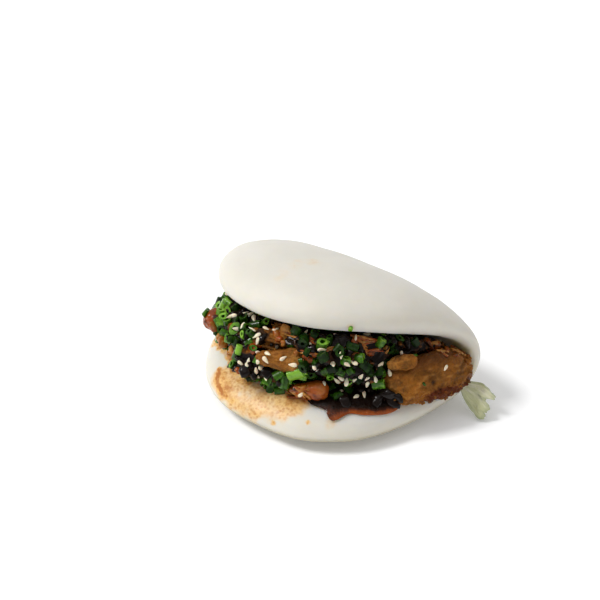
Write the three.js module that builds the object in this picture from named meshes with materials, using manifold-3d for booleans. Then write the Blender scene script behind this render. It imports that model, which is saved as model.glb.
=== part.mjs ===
// A steamed bun folded over roast duck, chives, sesame seeds and dark sauce, with a frill of
// lettuce at one end. Millimetres. X runs along the fold, the mouth opens towards -Y and Z points
// up. The origin is the middle of the flat underside on which the bun lies.

import * as THREE from 'three';
import { ImprovedNoise } from 'three/addons/math/ImprovedNoise.js';
import { mergeVertices } from 'three/addons/utils/BufferGeometryUtils.js';
import Module from 'manifold-3d';

const wasm = await Module();
wasm.setup();

const { clamp, degToRad, lerp } = THREE.MathUtils;

// Driving dimensions of the dough. The bun is an oval sheet bent double, and v is the distance
// along the sheet: negative in the lower lobe, 0 near the fold, positive in the upper lobe.
const DOUGH = {
  halfLength: 51, // half the length of the fold
  lower: { reach: 76.5, plan: 2.47, halfThickness: 9.6, edge: 7 },
  upper: { reach: 74.3, plan: 2.25, halfThickness: 11.6, edge: 4.2 },
  foldHalfThickness: 6.5,
  foldStart: 25, // y at which the underside starts to curl up into the fold
  foldMiddle: 0.8, // v of the middle of the fold
  foldHalfSpan: 21.8, // length of dough on each side of it that bends
  foldThinSpan: 24, // length on each side over which the dough thins towards the fold
  mouthAngle: degToRad(31.3),
  archAngle: degToRad(43), // further bend of the upper lobe over each archSpan
  archSpan: 60,
  mostArch: 2, // in arch spans, past which the upper lobe runs straight
  upperDome: 3.9, // how far the sides of the upper lobe hang below its middle
  lowerDroop: 2, // how far the rim of the lower lobe sinks below its middle
  undercut: 0.25, // share by which the lower lobe thins from below towards its rim
  upperSkew: -0.037, // sideways drift of the upper lobe along the sheet
  foldFlare: 3.2, // extra half length at the fold
  foldFlareSpan: 16,
  upperTurn: degToRad(-2.7),
  upperRoll: degToRad(-5.2),
  flattening: 0.55, // depth pressed flat where the bun rests
};
const DOUGH_SEGMENTS = { along: 18, across: 26, through: 8 };
const COARSE_DOUGH_SEGMENTS = { along: 10, across: 16, through: 4 };
const SHEET_STEP = 0.25; // step along the sheet for its bent centre line
const SHEET_END = 100;
const MERGE_TOLERANCE = 1e-4;

// Clearances between pieces that touch in the real food.
const GAP = 0.45;
const COARSE_GAP = 1.1;

// The packed filling: a rounded mass that fills the mouth, lumpy all over.
const HEAP = {
  centre: new THREE.Vector3(2.5, 13, 24),
  radii: new THREE.Vector3(47.5, 34.5, 13.5),
  planRoundness: 2.1,
  roundness: 2.8,
  rise: -0.15, // the middle climbs towards the mouth
  tilt: 0.1, // and towards the +X end
  taper: 0.4, // the front draws back towards the +X end
  taperStart: -0.2, // share of the half length from which it does
  // The slice at the +X end presses the filling flat along this plane.
  pressedAt: new THREE.Vector3(44, 17.4, 18.5),
  pressedFace: new THREE.Vector3(0.81, -0.29, 0.5).normalize(),
  pressedShare: 0.85,
  bulges: [
    { at: new THREE.Vector3(-9, -21, 20), reach: 4.5, spread: 8 },
    { at: new THREE.Vector3(2, -21, 16), reach: 3.5, spread: 7 },
    { at: new THREE.Vector3(8, -19, 24), reach: 2.5, spread: 7 },
  ],
  lump: 1.7,
  lumpSize: 8,
  seed: 0.5,
  segments: [16, 12, 6],
};

// Each piece of duck: where its middle lies, its length, width and thickness, and how it lies.
// yaw turns its length in plan, pitch lifts its far end and lean rolls it about its length.
const DUCK = {
  duck_slice_right: {
    at: [45, 18.5, 19.4],
    size: [37.5, 17.8, 9.5],
    yaw: 66,
    pitch: -3,
    lean: 56,
    bend: 2.5,
    crag: 0.8,
    seed: 3,
    segments: [10, 6, 4],
    finish: 'duck',
  },
  duck_strip_right: {
    at: [39.6, 8.7, 28.8],
    size: [11.6, 5.8, 4.4],
    yaw: 42,
    pitch: 10,
    lean: 40,
    bend: 0.6,
    crag: 0.3,
    seed: 11,
    segments: [6, 4, 3],
    finish: 'duck',
  },
  duck_piece_center: {
    at: [4, -18.3, 29.9],
    size: [18.5, 9.8, 9],
    yaw: 32,
    pitch: -4,
    lean: 50,
    bend: 1.5,
    crag: 0.9,
    seed: 5,
    segments: [8, 5, 4],
    finish: 'duck',
  },
  duck_piece_upper: {
    at: [-2, -13, 33.5],
    size: [21, 11, 8],
    yaw: 30,
    pitch: -8,
    lean: 45,
    bend: 1.2,
    crag: 0.9,
    seed: 7,
    segments: [8, 5, 4],
    finish: 'duck',
  },
  duck_piece_left_end: {
    at: [-34, -9.5, 26.5],
    size: [10, 8.5, 8],
    yaw: 70,
    pitch: 5,
    lean: 20,
    bend: 0.5,
    crag: 0.6,
    seed: 9,
    segments: [5, 5, 4],
    finish: 'glazedDuck',
  },
  duck_piece_front: {
    at: [15.6, -15.6, 19.7],
    size: [15, 7.5, 7.5],
    yaw: 36,
    pitch: 0,
    lean: 30,
    bend: 0.4,
    crag: 0.3,
    seed: 13,
    segments: [7, 4, 4],
    finish: 'glazedDuck',
  },
};
const DUCK_ROUNDNESS = 2.8;
const DUCK_CRAG_SIZE = 4.5;

// The pool of sauce lies on the lower lobe and runs towards its edge in a few drips.
const SAUCE = {
  centre: new THREE.Vector2(25, -1),
  halfLength: 19,
  halfWidth: 12,
  turn: degToRad(30),
  depth: 1.5,
  edgeRise: 0.9, // height of the rounded edge above the dough
  edge: 4, // how square the edge is
  edgeGrow: 3, // the shallow edge grows this many times as far, to be as clear as the face
  segments: [11, 8, 2],
  drips: [
    { angle: degToRad(-110), reach: 4.5, spread: 0.22 },
    { angle: degToRad(-145), reach: 2.5, spread: 0.3 },
  ],
};

// The lettuce: a narrow rib that lies on the lower lobe, bends over its rim and fans out into a
// torn, frilled end.
const LEAF = {
  rib: [
    [41, 25, 19.8],
    [46.5, 27, 18.2],
    [51.4, 29.2, 14.6],
    [54.4, 31, 9.6],
    [59.2, 31.4, 6.9],
    [65.2, 31.9, 5.2],
  ],
  ribSide: new THREE.Vector3(-0.3, 0.95, 0),
  frillSide: new THREE.Vector3(0.25, 0.68, 0.69),
  frillStart: 0.46, // share of the length at which it starts to widen
  frillFull: 0.74, // and at which it is at its widest
  bulge: 0.9, // how far the frill bulges to its upper side
  bulgeAt: 0.78,
  bulgeSpan: 0.15,
  ribHalfWidth: 2.6,
  frillHalfWidth: 6,
  thickness: 0.9,
  wave: 0.7,
  waveAcross: 4.5, // radians of wave from the rib to each side
  waveAlong: 3, // and from the root to the tip
  // Each tear shortens the end by a share of the leaf's length.
  tears: [
    { at: 0.32, depth: 0.17, spread: 0.16 },
    { at: -0.4, depth: 0.07, spread: 0.1 },
    { at: -1.05, depth: 0.05, spread: 0.2 },
    { at: 1.05, depth: 0.08, spread: 0.2 },
  ],
  segments: [14, 8],
};

// Small toppings that show on the filling. Each is turned and scaled at random within its ranges.
const CHIVE = {
  radius: 2.1,
  wall: 0.7,
  length: 3.4,
  sides: 7,
  count: 24,
  spacing: 6.6,
  lift: 0.6,
  scale: [0.85, 1.2],
  roll: 90,
  tilt: 40,
  spin: [0, 0],
};
const SEED = {
  length: 3.3,
  width: 2,
  thickness: 1,
  sides: [5, 4],
  count: 21,
  spacing: 5,
  lift: 0.25,
  scale: [0.9, 1.15],
  roll: 0,
  tilt: 15,
  spin: [0, 180],
};
const TOPPING_TRIES = 2600;
const RANDOM_SEED = 12;

// Toppings fall along rays that come in through the mouth. around and lift are degrees, and x, y
// and z are shares of the filling's radii.
const MOUTH_RAYS = {
  around: [-190, 10],
  lift: [0, 40],
  x: [-0.95, 0.95],
  y: [-0.95, 0],
  z: [-0.8, 1],
  distance: 120,
};

const noise = new ImprovedNoise();

function smooth(t) {
  const s = clamp(t, 0, 1);
  return s * s * (3 - 2 * s);
}

function bell(t) {
  return Math.exp(-t * t);
}

// Lumps of about the given size, with finer ones on them.
const FINE_LUMP_SIZE = 0.43;
const FINE_LUMP_HEIGHT = 0.45;

function lumps(point, size, seed) {
  const fineSize = FINE_LUMP_SIZE * size;
  const coarse = noise.noise(point.x / size + seed, point.y / size, point.z / size);
  const fine = noise.noise(point.x / fineSize, point.y / fineSize + seed, point.z / fineSize);
  return coarse + FINE_LUMP_HEIGHT * fine;
}

// Solids. Each shape is also made with a grow above 0, larger by that much on every side, to cut
// its neighbours with a clearance.

function mergedPositions(geometry) {
  geometry.deleteAttribute('normal');
  geometry.deleteAttribute('uv');
  return mergeVertices(geometry, MERGE_TOLERANCE);
}

function solidFrom(geometry) {
  const merged = mergedPositions(geometry);
  return new wasm.Manifold(new wasm.Mesh({
    numProp: 3,
    vertProperties: new Float32Array(merged.attributes.position.array),
    triVerts: new Uint32Array(merged.index.array),
  }));
}

function geometryFrom(solid) {
  const mesh = solid.getMesh();
  const geometry = new THREE.BufferGeometry();
  geometry.setAttribute('position', new THREE.BufferAttribute(mesh.vertProperties, 3));
  geometry.setIndex(new THREE.BufferAttribute(mesh.triVerts, 1));
  return geometry;
}

function largestPiece(solid) {
  const pieces = solid.decompose();
  return pieces.reduce((best, piece) => (piece.volume() > best.volume() ? piece : best));
}

// A ball made from a divided box, so its faces are all of about one size, moved point by point.
function shapedBall(segments, place) {
  const [across, deep, high] = segments;
  const ball = mergedPositions(new THREE.BoxGeometry(2, 2, 2, across, deep, high));
  const { position } = ball.attributes;
  const direction = new THREE.Vector3();
  for (let i = 0; i < position.count; i++) {
    direction.fromBufferAttribute(position, i);
    direction.set(...direction.toArray().map((t) => Math.tan(t * Math.PI / 4))).normalize();
    const point = place(direction);
    position.setXYZ(i, point.x, point.y, point.z);
  }
  return ball;
}

function roundSum(a, b, roundness) {
  return (Math.abs(a) ** roundness + Math.abs(b) ** roundness) ** (1 / roundness);
}

// A direction on the unit ball moved out to a rounded block with the given radii.
function roundedBlock(direction, radii, planRoundness, roundness, grow = 0) {
  const plan = roundSum(direction.x, direction.y, planRoundness);
  const reach = 1 / roundSum(plan, direction.z, roundness);
  return direction.clone().multiplyScalar(reach).multiply(radii.clone().addScalar(grow));
}

// The dough

const FOLD_START_V = DOUGH.foldMiddle - DOUGH.foldHalfSpan;

function upperShare(v) {
  return smooth((v - FOLD_START_V) / (2 * DOUGH.foldHalfSpan));
}

function bendAngle(v) {
  const pastFold = v - DOUGH.foldMiddle - DOUGH.foldHalfSpan;
  const arch = clamp(pastFold / DOUGH.archSpan, 0, DOUGH.mostArch);
  return (Math.PI - DOUGH.mouthAngle) * upperShare(v) + DOUGH.archAngle * arch;
}

// The centre line of the bent sheet, walked from the start of the fold in both directions.
function walkCentreLine() {
  const line = [];
  const steps = Math.round(SHEET_END / SHEET_STEP);
  for (const heading of [-1, 1]) {
    let y = DOUGH.foldStart;
    let z = 0;
    for (let i = 0; i <= steps; i++) {
      const v = FOLD_START_V + heading * i * SHEET_STEP;
      line.push({ v, y, z });
      const angle = bendAngle(v + heading * SHEET_STEP / 2);
      y += heading * SHEET_STEP * Math.cos(angle);
      z += heading * SHEET_STEP * Math.sin(angle);
    }
  }
  return line.sort((a, b) => a.v - b.v);
}

const CENTRE_LINE = walkCentreLine();

function centreAt(v) {
  const first = CENTRE_LINE[0].v;
  const index = clamp(Math.floor((v - first) / SHEET_STEP), 0, CENTRE_LINE.length - 2);
  const here = CENTRE_LINE[index];
  const next = CENTRE_LINE[index + 1];
  const share = next.v > here.v ? (v - here.v) / (next.v - here.v) : 0;
  return { y: lerp(here.y, next.y, share), z: lerp(here.z, next.z, share) };
}

// From the middle of a face (share 0) to the rim (share 1): the distance from the middle and the
// height of the dough there, both as parts of the whole. The rim is as round as edge says.
const RIM_SHARE = 0.55;
const RIM_DISTANCE = 0.86;
// The rims of the two lobes blend into each other where the way across the sheet is within this.
const EDGE_BLEND = 0.5;

function doughProfile(share, edge) {
  if (share < RIM_SHARE) {
    const distance = share / RIM_SHARE * RIM_DISTANCE;
    return { distance, height: Math.sqrt(1 - distance ** edge) };
  }
  const start = Math.acos(Math.sqrt(1 - RIM_DISTANCE ** edge));
  const turn = lerp(start, Math.PI / 2, (share - RIM_SHARE) / (1 - RIM_SHARE));
  return { distance: Math.sin(turn) ** (2 / edge), height: Math.cos(turn) };
}

function doughPoint(direction, grow) {
  const flat = Math.hypot(direction.x, direction.y);
  const along = flat > 0 ? direction.x / flat : 1;
  const across = flat > 0 ? direction.y / flat : 0;
  const lobe = across > 0 ? DOUGH.upper : DOUGH.lower;
  const radius = grow + 1 / roundSum(along / DOUGH.halfLength, across / lobe.reach, lobe.plan);
  const towardsUpper = smooth((across + EDGE_BLEND) / (2 * EDGE_BLEND));
  const edge = lerp(DOUGH.lower.edge, DOUGH.upper.edge, towardsUpper);
  const share = Math.atan2(flat, Math.abs(direction.z)) / (Math.PI / 2);
  const { distance, height } = doughProfile(share, edge);

  const v = radius * distance * across;
  const plain = radius * distance * along;
  const flare = DOUGH.foldFlare * bell((v - DOUGH.foldMiddle) / DOUGH.foldFlareSpan);
  const u = plain * (1 + flare / DOUGH.halfLength);
  const upper = upperShare(v);
  const atFold = bell((v - DOUGH.foldMiddle) / DOUGH.foldThinSpan);
  const lobeThickness = lerp(DOUGH.lower.halfThickness, DOUGH.upper.halfThickness, upper);
  const thickness = lerp(lobeThickness, DOUGH.foldHalfThickness, atFold) + grow;
  const sag = DOUGH.upperDome * (u / DOUGH.halfLength) ** 2 * upper
    - DOUGH.lowerDroop * distance ** 2 * (1 - upper);
  const undercut = direction.z < 0 ? DOUGH.undercut * distance ** 2 * (1 - upper) : 0;
  const offset = Math.sign(direction.z) * thickness * height * (1 - undercut) + sag;
  const angle = bendAngle(v);
  const centre = centreAt(v);
  const point = new THREE.Vector3(
    u + DOUGH.upperSkew * Math.max(v, 0),
    centre.y - offset * Math.sin(angle),
    centre.z + offset * Math.cos(angle),
  );
  point.y -= DOUGH.foldStart;
  point.applyAxisAngle(new THREE.Vector3(0, 0, 1), DOUGH.upperTurn * upper);
  point.applyAxisAngle(new THREE.Vector3(0, 1, 0), DOUGH.upperRoll * upper);
  point.y += DOUGH.foldStart;
  return point;
}

// The depth of the underside below the centre line, from its rim's droop and its thickness.
const DEPTH_SAMPLES = 100;

function undersideDepth() {
  const samples = Array.from({ length: DEPTH_SAMPLES }, (_, i) => i / DEPTH_SAMPLES);
  const depths = samples.map((distance) => {
    const height = Math.sqrt(1 - distance ** DOUGH.lower.edge) * (1 - DOUGH.undercut * distance ** 2);
    return DOUGH.lowerDroop * distance ** 2 + DOUGH.lower.halfThickness * height;
  });
  return Math.max(...depths);
}

const REST_LEVEL = undersideDepth() - DOUGH.flattening;

function bunGeometry({ along, across, through }, grow = 0) {
  return shapedBall([along, across, through], (direction) => {
    const point = doughPoint(direction, grow);
    point.z = Math.max(point.z + REST_LEVEL, -grow);
    return point;
  });
}

// Height of the upper face of the lower lobe at a place in plan.
function lowerLobeTop(x, y) {
  const v = y - DOUGH.foldStart + FOLD_START_V;
  const { reach, plan, edge, halfThickness } = DOUGH.lower;
  const distance = roundSum(x / DOUGH.halfLength, v / reach, plan);
  const height = Math.sqrt(Math.max(0, 1 - distance ** edge));
  return REST_LEVEL + halfThickness * height - DOUGH.lowerDroop * distance ** 2;
}

// The filling

function heapGeometry() {
  const { centre, radii, planRoundness, roundness, rise, tilt, taper, lump, lumpSize, seed } = HEAP;
  return shapedBall(HEAP.segments, (direction) => {
    const point = roundedBlock(direction, radii, planRoundness, roundness);
    if (point.y < 0) point.y *= 1 - taper * smooth(point.x / radii.x - HEAP.taperStart);
    point.z += rise * point.y + tilt * point.x;
    point.add(centre);
    const proud = point.clone().sub(HEAP.pressedAt).dot(HEAP.pressedFace);
    point.addScaledVector(HEAP.pressedFace, -HEAP.pressedShare * Math.max(0, proud));
    const bulge = HEAP.bulges.reduce((sum, { at, reach, spread }) =>
      sum + reach * bell(point.distanceTo(at) / spread), 0);
    return point.addScaledVector(direction, bulge + lump * lumps(point, lumpSize, seed));
  });
}

function duckGeometry({ at, size, yaw, pitch, lean, bend, crag, seed, segments }, grow = 0) {
  const radii = new THREE.Vector3(...size).multiplyScalar(0.5);
  const turn = new THREE.Euler(degToRad(lean), degToRad(-pitch), degToRad(yaw), 'ZYX');
  return shapedBall(segments, (direction) => {
    const plain = roundedBlock(direction, radii, DUCK_ROUNDNESS, DUCK_ROUNDNESS);
    const point = roundedBlock(direction, radii, DUCK_ROUNDNESS, DUCK_ROUNDNESS, grow);
    point.z += bend * (0.5 - (plain.x / radii.x) ** 2);
    point.addScaledVector(direction, crag * lumps(plain, DUCK_CRAG_SIZE, seed));
    return point.applyEuler(turn).add(new THREE.Vector3(...at));
  });
}

function sauceGeometry(grow = 0) {
  const { centre, halfLength, halfWidth, turn, depth, edgeRise, edge, edgeGrow, segments, drips } = SAUCE;
  return shapedBall(segments, (direction) => {
    const flat = Math.hypot(direction.x, direction.y);
    const angle = Math.atan2(direction.y, direction.x);
    const share = Math.atan2(flat, Math.abs(direction.z)) / (Math.PI / 2);
    const oval = 1 / Math.hypot(Math.cos(angle) / halfLength, Math.sin(angle) / halfWidth);
    const run = drips.reduce((sum, drip) => {
      const away = Math.atan2(Math.sin(angle - drip.angle), Math.cos(angle - drip.angle));
      return sum + drip.reach * bell(away / drip.spread);
    }, 0);
    const radius = (oval + run * share + edgeGrow * grow) * share;
    const plan = new THREE.Vector2(radius * Math.cos(angle), radius * Math.sin(angle));
    plan.rotateAround(new THREE.Vector2(), turn).add(centre);
    const height = Math.sign(direction.z) * (depth + grow) * Math.sqrt(Math.max(0, 1 - share ** edge));
    return new THREE.Vector3(plan.x, plan.y, lowerLobeTop(plan.x, plan.y) + edgeRise + height);
  });
}

// A thin solid on both sides of a divided plane, its two faces split into triangles alike.
function sheetGeometry([lengthSegments, widthSegments], thickness, place) {
  const middle = new THREE.PlaneGeometry(1, 2, lengthSegments, widthSegments);
  const { position } = middle.attributes;
  for (let i = 0; i < position.count; i++) {
    const point = place(position.getX(i) + 0.5, position.getY(i));
    position.setXYZ(i, point.x, point.y, point.z);
  }
  middle.computeVertexNormals();
  const { normal } = middle.attributes;
  const points = [];
  for (const side of [0.5, -0.5]) {
    for (let i = 0; i < position.count; i++) {
      const outward = new THREE.Vector3().fromBufferAttribute(normal, i);
      points.push(new THREE.Vector3().fromBufferAttribute(position, i)
        .addScaledVector(outward, side * thickness));
    }
  }
  const upper = Array.from(middle.index.array);
  const faces = [...upper];
  for (let i = 0; i < upper.length; i += 3) {
    faces.push(upper[i] + position.count, upper[i + 2] + position.count, upper[i + 1] + position.count);
  }
  const columns = lengthSegments + 1;
  const rim = [];
  for (let i = 0; i < lengthSegments; i++) rim.push(i);
  for (let i = 0; i < widthSegments; i++) rim.push(i * columns + lengthSegments);
  for (let i = lengthSegments; i > 0; i--) rim.push(widthSegments * columns + i);
  for (let i = widthSegments; i > 0; i--) rim.push(i * columns);
  rim.forEach((here, i) => {
    const next = rim[(i + 1) % rim.length];
    faces.push(here, next, next + position.count, here, next + position.count, here + position.count);
  });
  const geometry = new THREE.BufferGeometry().setFromPoints(points);
  geometry.setIndex(faces);
  return geometry;
}

function leafGeometry(grow = 0) {
  const { ribSide, frillSide, frillStart, frillFull, ribHalfWidth, frillHalfWidth, tears } = LEAF;
  const rib = new THREE.CatmullRomCurve3(LEAF.rib.map((point) => new THREE.Vector3(...point)));
  const growShare = grow / rib.getLength();
  return sheetGeometry(LEAF.segments, LEAF.thickness + 2 * grow, (share, s) => {
    const frill = smooth((share - frillStart) / (frillFull - frillStart));
    const bulge = LEAF.bulge * bell((share - LEAF.bulgeAt) / LEAF.bulgeSpan);
    const torn = tears.reduce((sum, tear) => sum + tear.depth * bell((s - tear.at) / tear.spread), 0);
    const t = share * (1 - torn * frill + 2 * growShare) - growShare;
    const along = rib.getTangentAt(clamp(t, 0, 1));
    const across = ribSide.clone().lerp(frillSide, smooth(2 * (share - frillStart)));
    across.addScaledVector(along, -across.dot(along)).normalize();
    const face = new THREE.Vector3().crossVectors(along, across);
    const ripple = LEAF.wave * frill * Math.sin(LEAF.waveAcross * s + LEAF.waveAlong * share);
    return rib.getPointAt(clamp(t, 0, 1))
      .addScaledVector(along, (t - clamp(t, 0, 1)) * rib.getLength())
      .addScaledVector(across, bulge + s * (lerp(ribHalfWidth, frillHalfWidth, frill) + grow))
      .addScaledVector(face, ripple);
  });
}

// Toppings are dropped on the bare core where it shows in the mouth, from seeded places.

function chiveSolid() {
  const { radius, wall, length, sides } = CHIVE;
  const profile = [
    new THREE.Vector2(radius - wall, -length / 2),
    new THREE.Vector2(radius, -length / 2),
    new THREE.Vector2(radius, length / 2),
    new THREE.Vector2(radius - wall, length / 2),
    new THREE.Vector2(radius - wall, -length / 2),
  ];
  return solidFrom(new THREE.LatheGeometry(profile, sides));
}

function seedSolid() {
  const seed = new THREE.SphereGeometry(0.5, ...SEED.sides);
  seed.scale(SEED.length, SEED.width, SEED.thickness);
  return solidFrom(seed);
}

function randomBetween([low, high]) {
  return lerp(low, high, THREE.MathUtils.seededRandom());
}

// A ray from outside the mouth to a place somewhere in the filling.
function rayIntoMouth() {
  const around = degToRad(randomBetween(MOUTH_RAYS.around));
  const lift = degToRad(randomBetween(MOUTH_RAYS.lift));
  const inner = HEAP.centre.clone();
  for (const axis of ['x', 'y', 'z']) inner[axis] += HEAP.radii[axis] * randomBetween(MOUTH_RAYS[axis]);
  const outward = new THREE.Vector3(
    Math.cos(lift) * Math.cos(around),
    Math.cos(lift) * Math.sin(around),
    Math.sin(lift),
  );
  const start = inner.addScaledVector(outward, MOUTH_RAYS.distance);
  return new THREE.Raycaster(start, outward.negate());
}

// The piece laid on the face that a ray hit, turned and scaled at random.
function placedOn(hit, piece, { lift, scale, roll, tilt, spin }) {
  const normal = hit.face.normal.clone();
  const seat = new THREE.Quaternion().setFromUnitVectors(new THREE.Vector3(0, 0, 1), normal);
  const turn = new THREE.Euler(
    degToRad(randomBetween([-roll, roll])),
    degToRad(randomBetween([-tilt, tilt])),
    degToRad(randomBetween(spin)),
  );
  const size = new THREE.Vector3().setScalar(randomBetween(scale));
  const at = hit.point.clone().addScaledVector(normal, lift);
  const matrix = new THREE.Matrix4();
  matrix.compose(at, seat.multiply(new THREE.Quaternion().setFromEuler(turn)), size);
  return piece.transform(matrix.elements);
}

function scatter(piece, topping, core, targets, occupied, taken) {
  const placed = [];
  const places = [];
  for (let i = 0; i < TOPPING_TRIES && placed.length < topping.count; i++) {
    const [hit] = rayIntoMouth().intersectObjects(targets);
    const clear = hit && hit.object === core
      && places.every((place) => place.distanceTo(hit.point) > topping.spacing)
      && taken.every((place) => place.distanceTo(hit.point) > topping.spacing / 2);
    if (clear) {
      const solid = placedOn(hit, piece, topping);
      if (solid.intersect(occupied).isEmpty()) {
        placed.push(solid);
        places.push(hit.point);
      }
    }
  }
  taken.push(...places);
  return placed;
}

// The assembled food

function finish(color, roughness) {
  return new THREE.MeshStandardMaterial({ color, roughness, metalness: 0 });
}

const FINISHES = {
  bun: finish(0xe9e5da, 0.6),
  filling: finish(0x3f3a22, 0.45),
  duck: finish(0x7a4a22, 0.45),
  glazedDuck: finish(0x6a2f16, 0.35),
  sauce: finish(0x3a1408, 0.2),
  leaf: finish(0xa6ad78, 0.5),
};

function named(name, solid, material) {
  const geometry = geometryFrom(solid);
  geometry.computeVertexNormals();
  const mesh = new THREE.Mesh(geometry, material.clone());
  mesh.name = name;
  return mesh;
}

function buildBao() {
  const bunSpace = solidFrom(bunGeometry(DOUGH_SEGMENTS, GAP));
  const coarseBunSpace = solidFrom(bunGeometry(COARSE_DOUGH_SEGMENTS, COARSE_GAP));
  const meshes = [named('bun', solidFrom(bunGeometry(DOUGH_SEGMENTS)), FINISHES.bun)];

  // Each piece is cut back from the bun and from all that were laid before it.
  const laid = [];
  const lay = (name, shape, material) => {
    const solid = largestPiece(wasm.Manifold.difference([solidFrom(shape()), bunSpace, ...laid]));
    laid.push(solidFrom(shape(GAP)));
    meshes.push(named(name, solid, material));
  };
  lay('lettuce_leaf', leafGeometry, FINISHES.leaf);
  for (const [name, piece] of Object.entries(DUCK)) {
    lay(name, (grow) => duckGeometry(piece, grow), FINISHES[piece.finish]);
  }
  lay('sauce_pool', sauceGeometry, FINISHES.sauce);

  // The rest of the filling is one mass, with the toppings that show on it fused on.
  const core = largestPiece(wasm.Manifold.difference([solidFrom(heapGeometry()), coarseBunSpace, ...laid]));
  const coreMesh = named('core', core, FINISHES.filling);
  const targets = [...meshes, coreMesh];
  const occupied = wasm.Manifold.union([bunSpace, ...laid]);
  const taken = [];
  THREE.MathUtils.seededRandom(RANDOM_SEED);
  const chives = scatter(chiveSolid(), CHIVE, coreMesh, targets, occupied, taken);
  const seeds = scatter(seedSolid(), SEED, coreMesh, targets, occupied, taken);
  const heap = largestPiece(wasm.Manifold.union([core, ...chives, ...seeds]));
  meshes.push(named('filling_heap', heap, FINISHES.filling));

  const group = new THREE.Group();
  group.add(...meshes);
  return group;
}

export default buildBao();
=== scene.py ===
import math
import random

import bmesh
import bpy
import numpy as np
from bpy.props import FloatProperty, FloatVectorProperty, IntProperty, PointerProperty
from mathutils import Euler, Matrix, Vector, noise
from mathutils.bvhtree import BVHTree


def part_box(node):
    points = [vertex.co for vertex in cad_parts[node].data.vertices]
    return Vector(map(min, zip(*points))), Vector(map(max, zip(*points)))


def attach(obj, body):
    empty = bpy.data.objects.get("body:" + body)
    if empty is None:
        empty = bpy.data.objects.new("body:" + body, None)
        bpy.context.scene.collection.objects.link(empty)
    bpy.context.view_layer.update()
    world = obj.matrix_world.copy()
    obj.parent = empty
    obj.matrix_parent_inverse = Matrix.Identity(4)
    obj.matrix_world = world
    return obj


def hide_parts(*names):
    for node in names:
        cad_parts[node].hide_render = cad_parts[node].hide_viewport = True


bl_info = {
    "name": "Duck Bao",
    "version": (1, 0, 0),
    "blender": (4, 5, 0),
    "location": "View3D > Sidebar > Duck Bao",
    "description": "A steamed bun folded over sauced duck, chives and sesame seeds",
    "category": "Add Mesh",
}

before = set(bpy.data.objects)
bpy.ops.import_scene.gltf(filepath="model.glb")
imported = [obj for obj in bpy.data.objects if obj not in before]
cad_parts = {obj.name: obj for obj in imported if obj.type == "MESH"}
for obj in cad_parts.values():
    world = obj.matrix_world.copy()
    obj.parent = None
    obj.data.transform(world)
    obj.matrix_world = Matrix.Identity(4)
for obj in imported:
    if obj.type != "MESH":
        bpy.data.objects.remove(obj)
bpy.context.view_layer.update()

MM = 0.001
BODY = "root"

# The stage. The camera looks from the photo's side at a point near the middle of the bun.
PHOTO_SIZE = 600
VIEW_AZIMUTH = math.radians(37.717)
VIEW_ELEVATION = math.radians(35.896)
VIEW_CENTRE = Vector((0, 0, 25)) * MM
VIEW_DISTANCE = 600 * MM
VIEW_LENS = 95.4
SENSOR = 36.0
NEAREST_SHOWN = 10 * MM
AIM_UP, AIM_LEFT = 16.45 * MM, 0.785 * MM
KEY_WAY = (-0.62, 0.63, 0.46)  # the way to the main light, in the camera's axes
SKY_START, SKY_END = -0.1, 1  # heights of a way, as its Z, between which the sky's brightness changes
FLOOR_HALF = 4  # in metres

# The dough, in millimetres and degrees: an oval sheet bent double. v runs along the sheet, from the
# rim of the lower lobe through the fold to the rim of the upper one.
LOWER_PLAN, LOWER_EDGE = 2.47, 7
UPPER_PLAN, UPPER_EDGE = 2.25, 4.2
FOLD_Y = 25
FOLD_MIDDLE = 0.8
FOLD_HALF_SPAN = 21.8
FOLD_THIN_SPAN = 24
FOLD_START = FOLD_MIDDLE - FOLD_HALF_SPAN
ARCH_ANGLE = math.radians(43)
ARCH_SPAN = 60
MOST_ARCH = 2
UPPER_DOME = 3.9
LOWER_DROOP = 2
UPPER_SKEW = -0.037
FOLD_FLARE, FOLD_FLARE_SPAN = 3.2, 16
UPPER_TURN = math.radians(-2.7)
UPPER_ROLL = math.radians(-5.2)
UNDERCUT = 0.25
FLATTENING = 0.55
RIM_SHARE, RIM_DISTANCE = 0.55, 0.86
EDGE_BLEND = 0.5
SHEET_STEP, SHEET_END = 0.25, 100
SKIN = 0.15  # the smooth bun stays this far inside the solid one


# Numbers

def smooth(t):
    s = np.clip(t, 0, 1)
    return s * s * (3 - 2 * s)


def bell(t):
    return np.exp(-np.square(t))


def lerp(a, b, t):
    return a + (b - a) * t


def round_sum(a, b, roundness):
    return (np.abs(a) ** roundness + np.abs(b) ** roundness) ** (1 / roundness)


def fine_noise(points, size, seed=0.0):
    """Smooth noise from -1 to 1 at each point, with lumps of about that size."""
    shift = Vector((seed, -seed, 2 * seed))
    return np.array([noise.noise(Vector(p) / size + shift) for p in points])


# Meshes

def mesh_from(bm, name):
    mesh = bpy.data.meshes.new(name)
    bm.to_mesh(mesh)
    bm.free()
    return mesh


def object_from(bm, name):
    mesh = mesh_from(bm, name)
    mesh.shade_smooth()
    made = bpy.data.objects.new(name, mesh)
    bpy.context.scene.collection.objects.link(made)
    return made


def rows_of(items, name):
    flat = np.empty(len(items) * 3)
    items.foreach_get(name, flat)
    return flat.reshape(-1, 3)


def points_of(mesh):
    return rows_of(mesh.vertices, "co")


def normals_of(mesh):
    return rows_of(mesh.vertex_normals, "vector")


def set_points(mesh, points):
    mesh.vertices.foreach_set("co", np.asarray(points, np.float32).ravel())
    mesh.update()


def set_mask(mesh, name, values):
    layer = mesh.attributes.get(name) or mesh.attributes.new(name, "FLOAT", "POINT")
    layer.data.foreach_set("value", np.asarray(values, np.float32))


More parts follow.
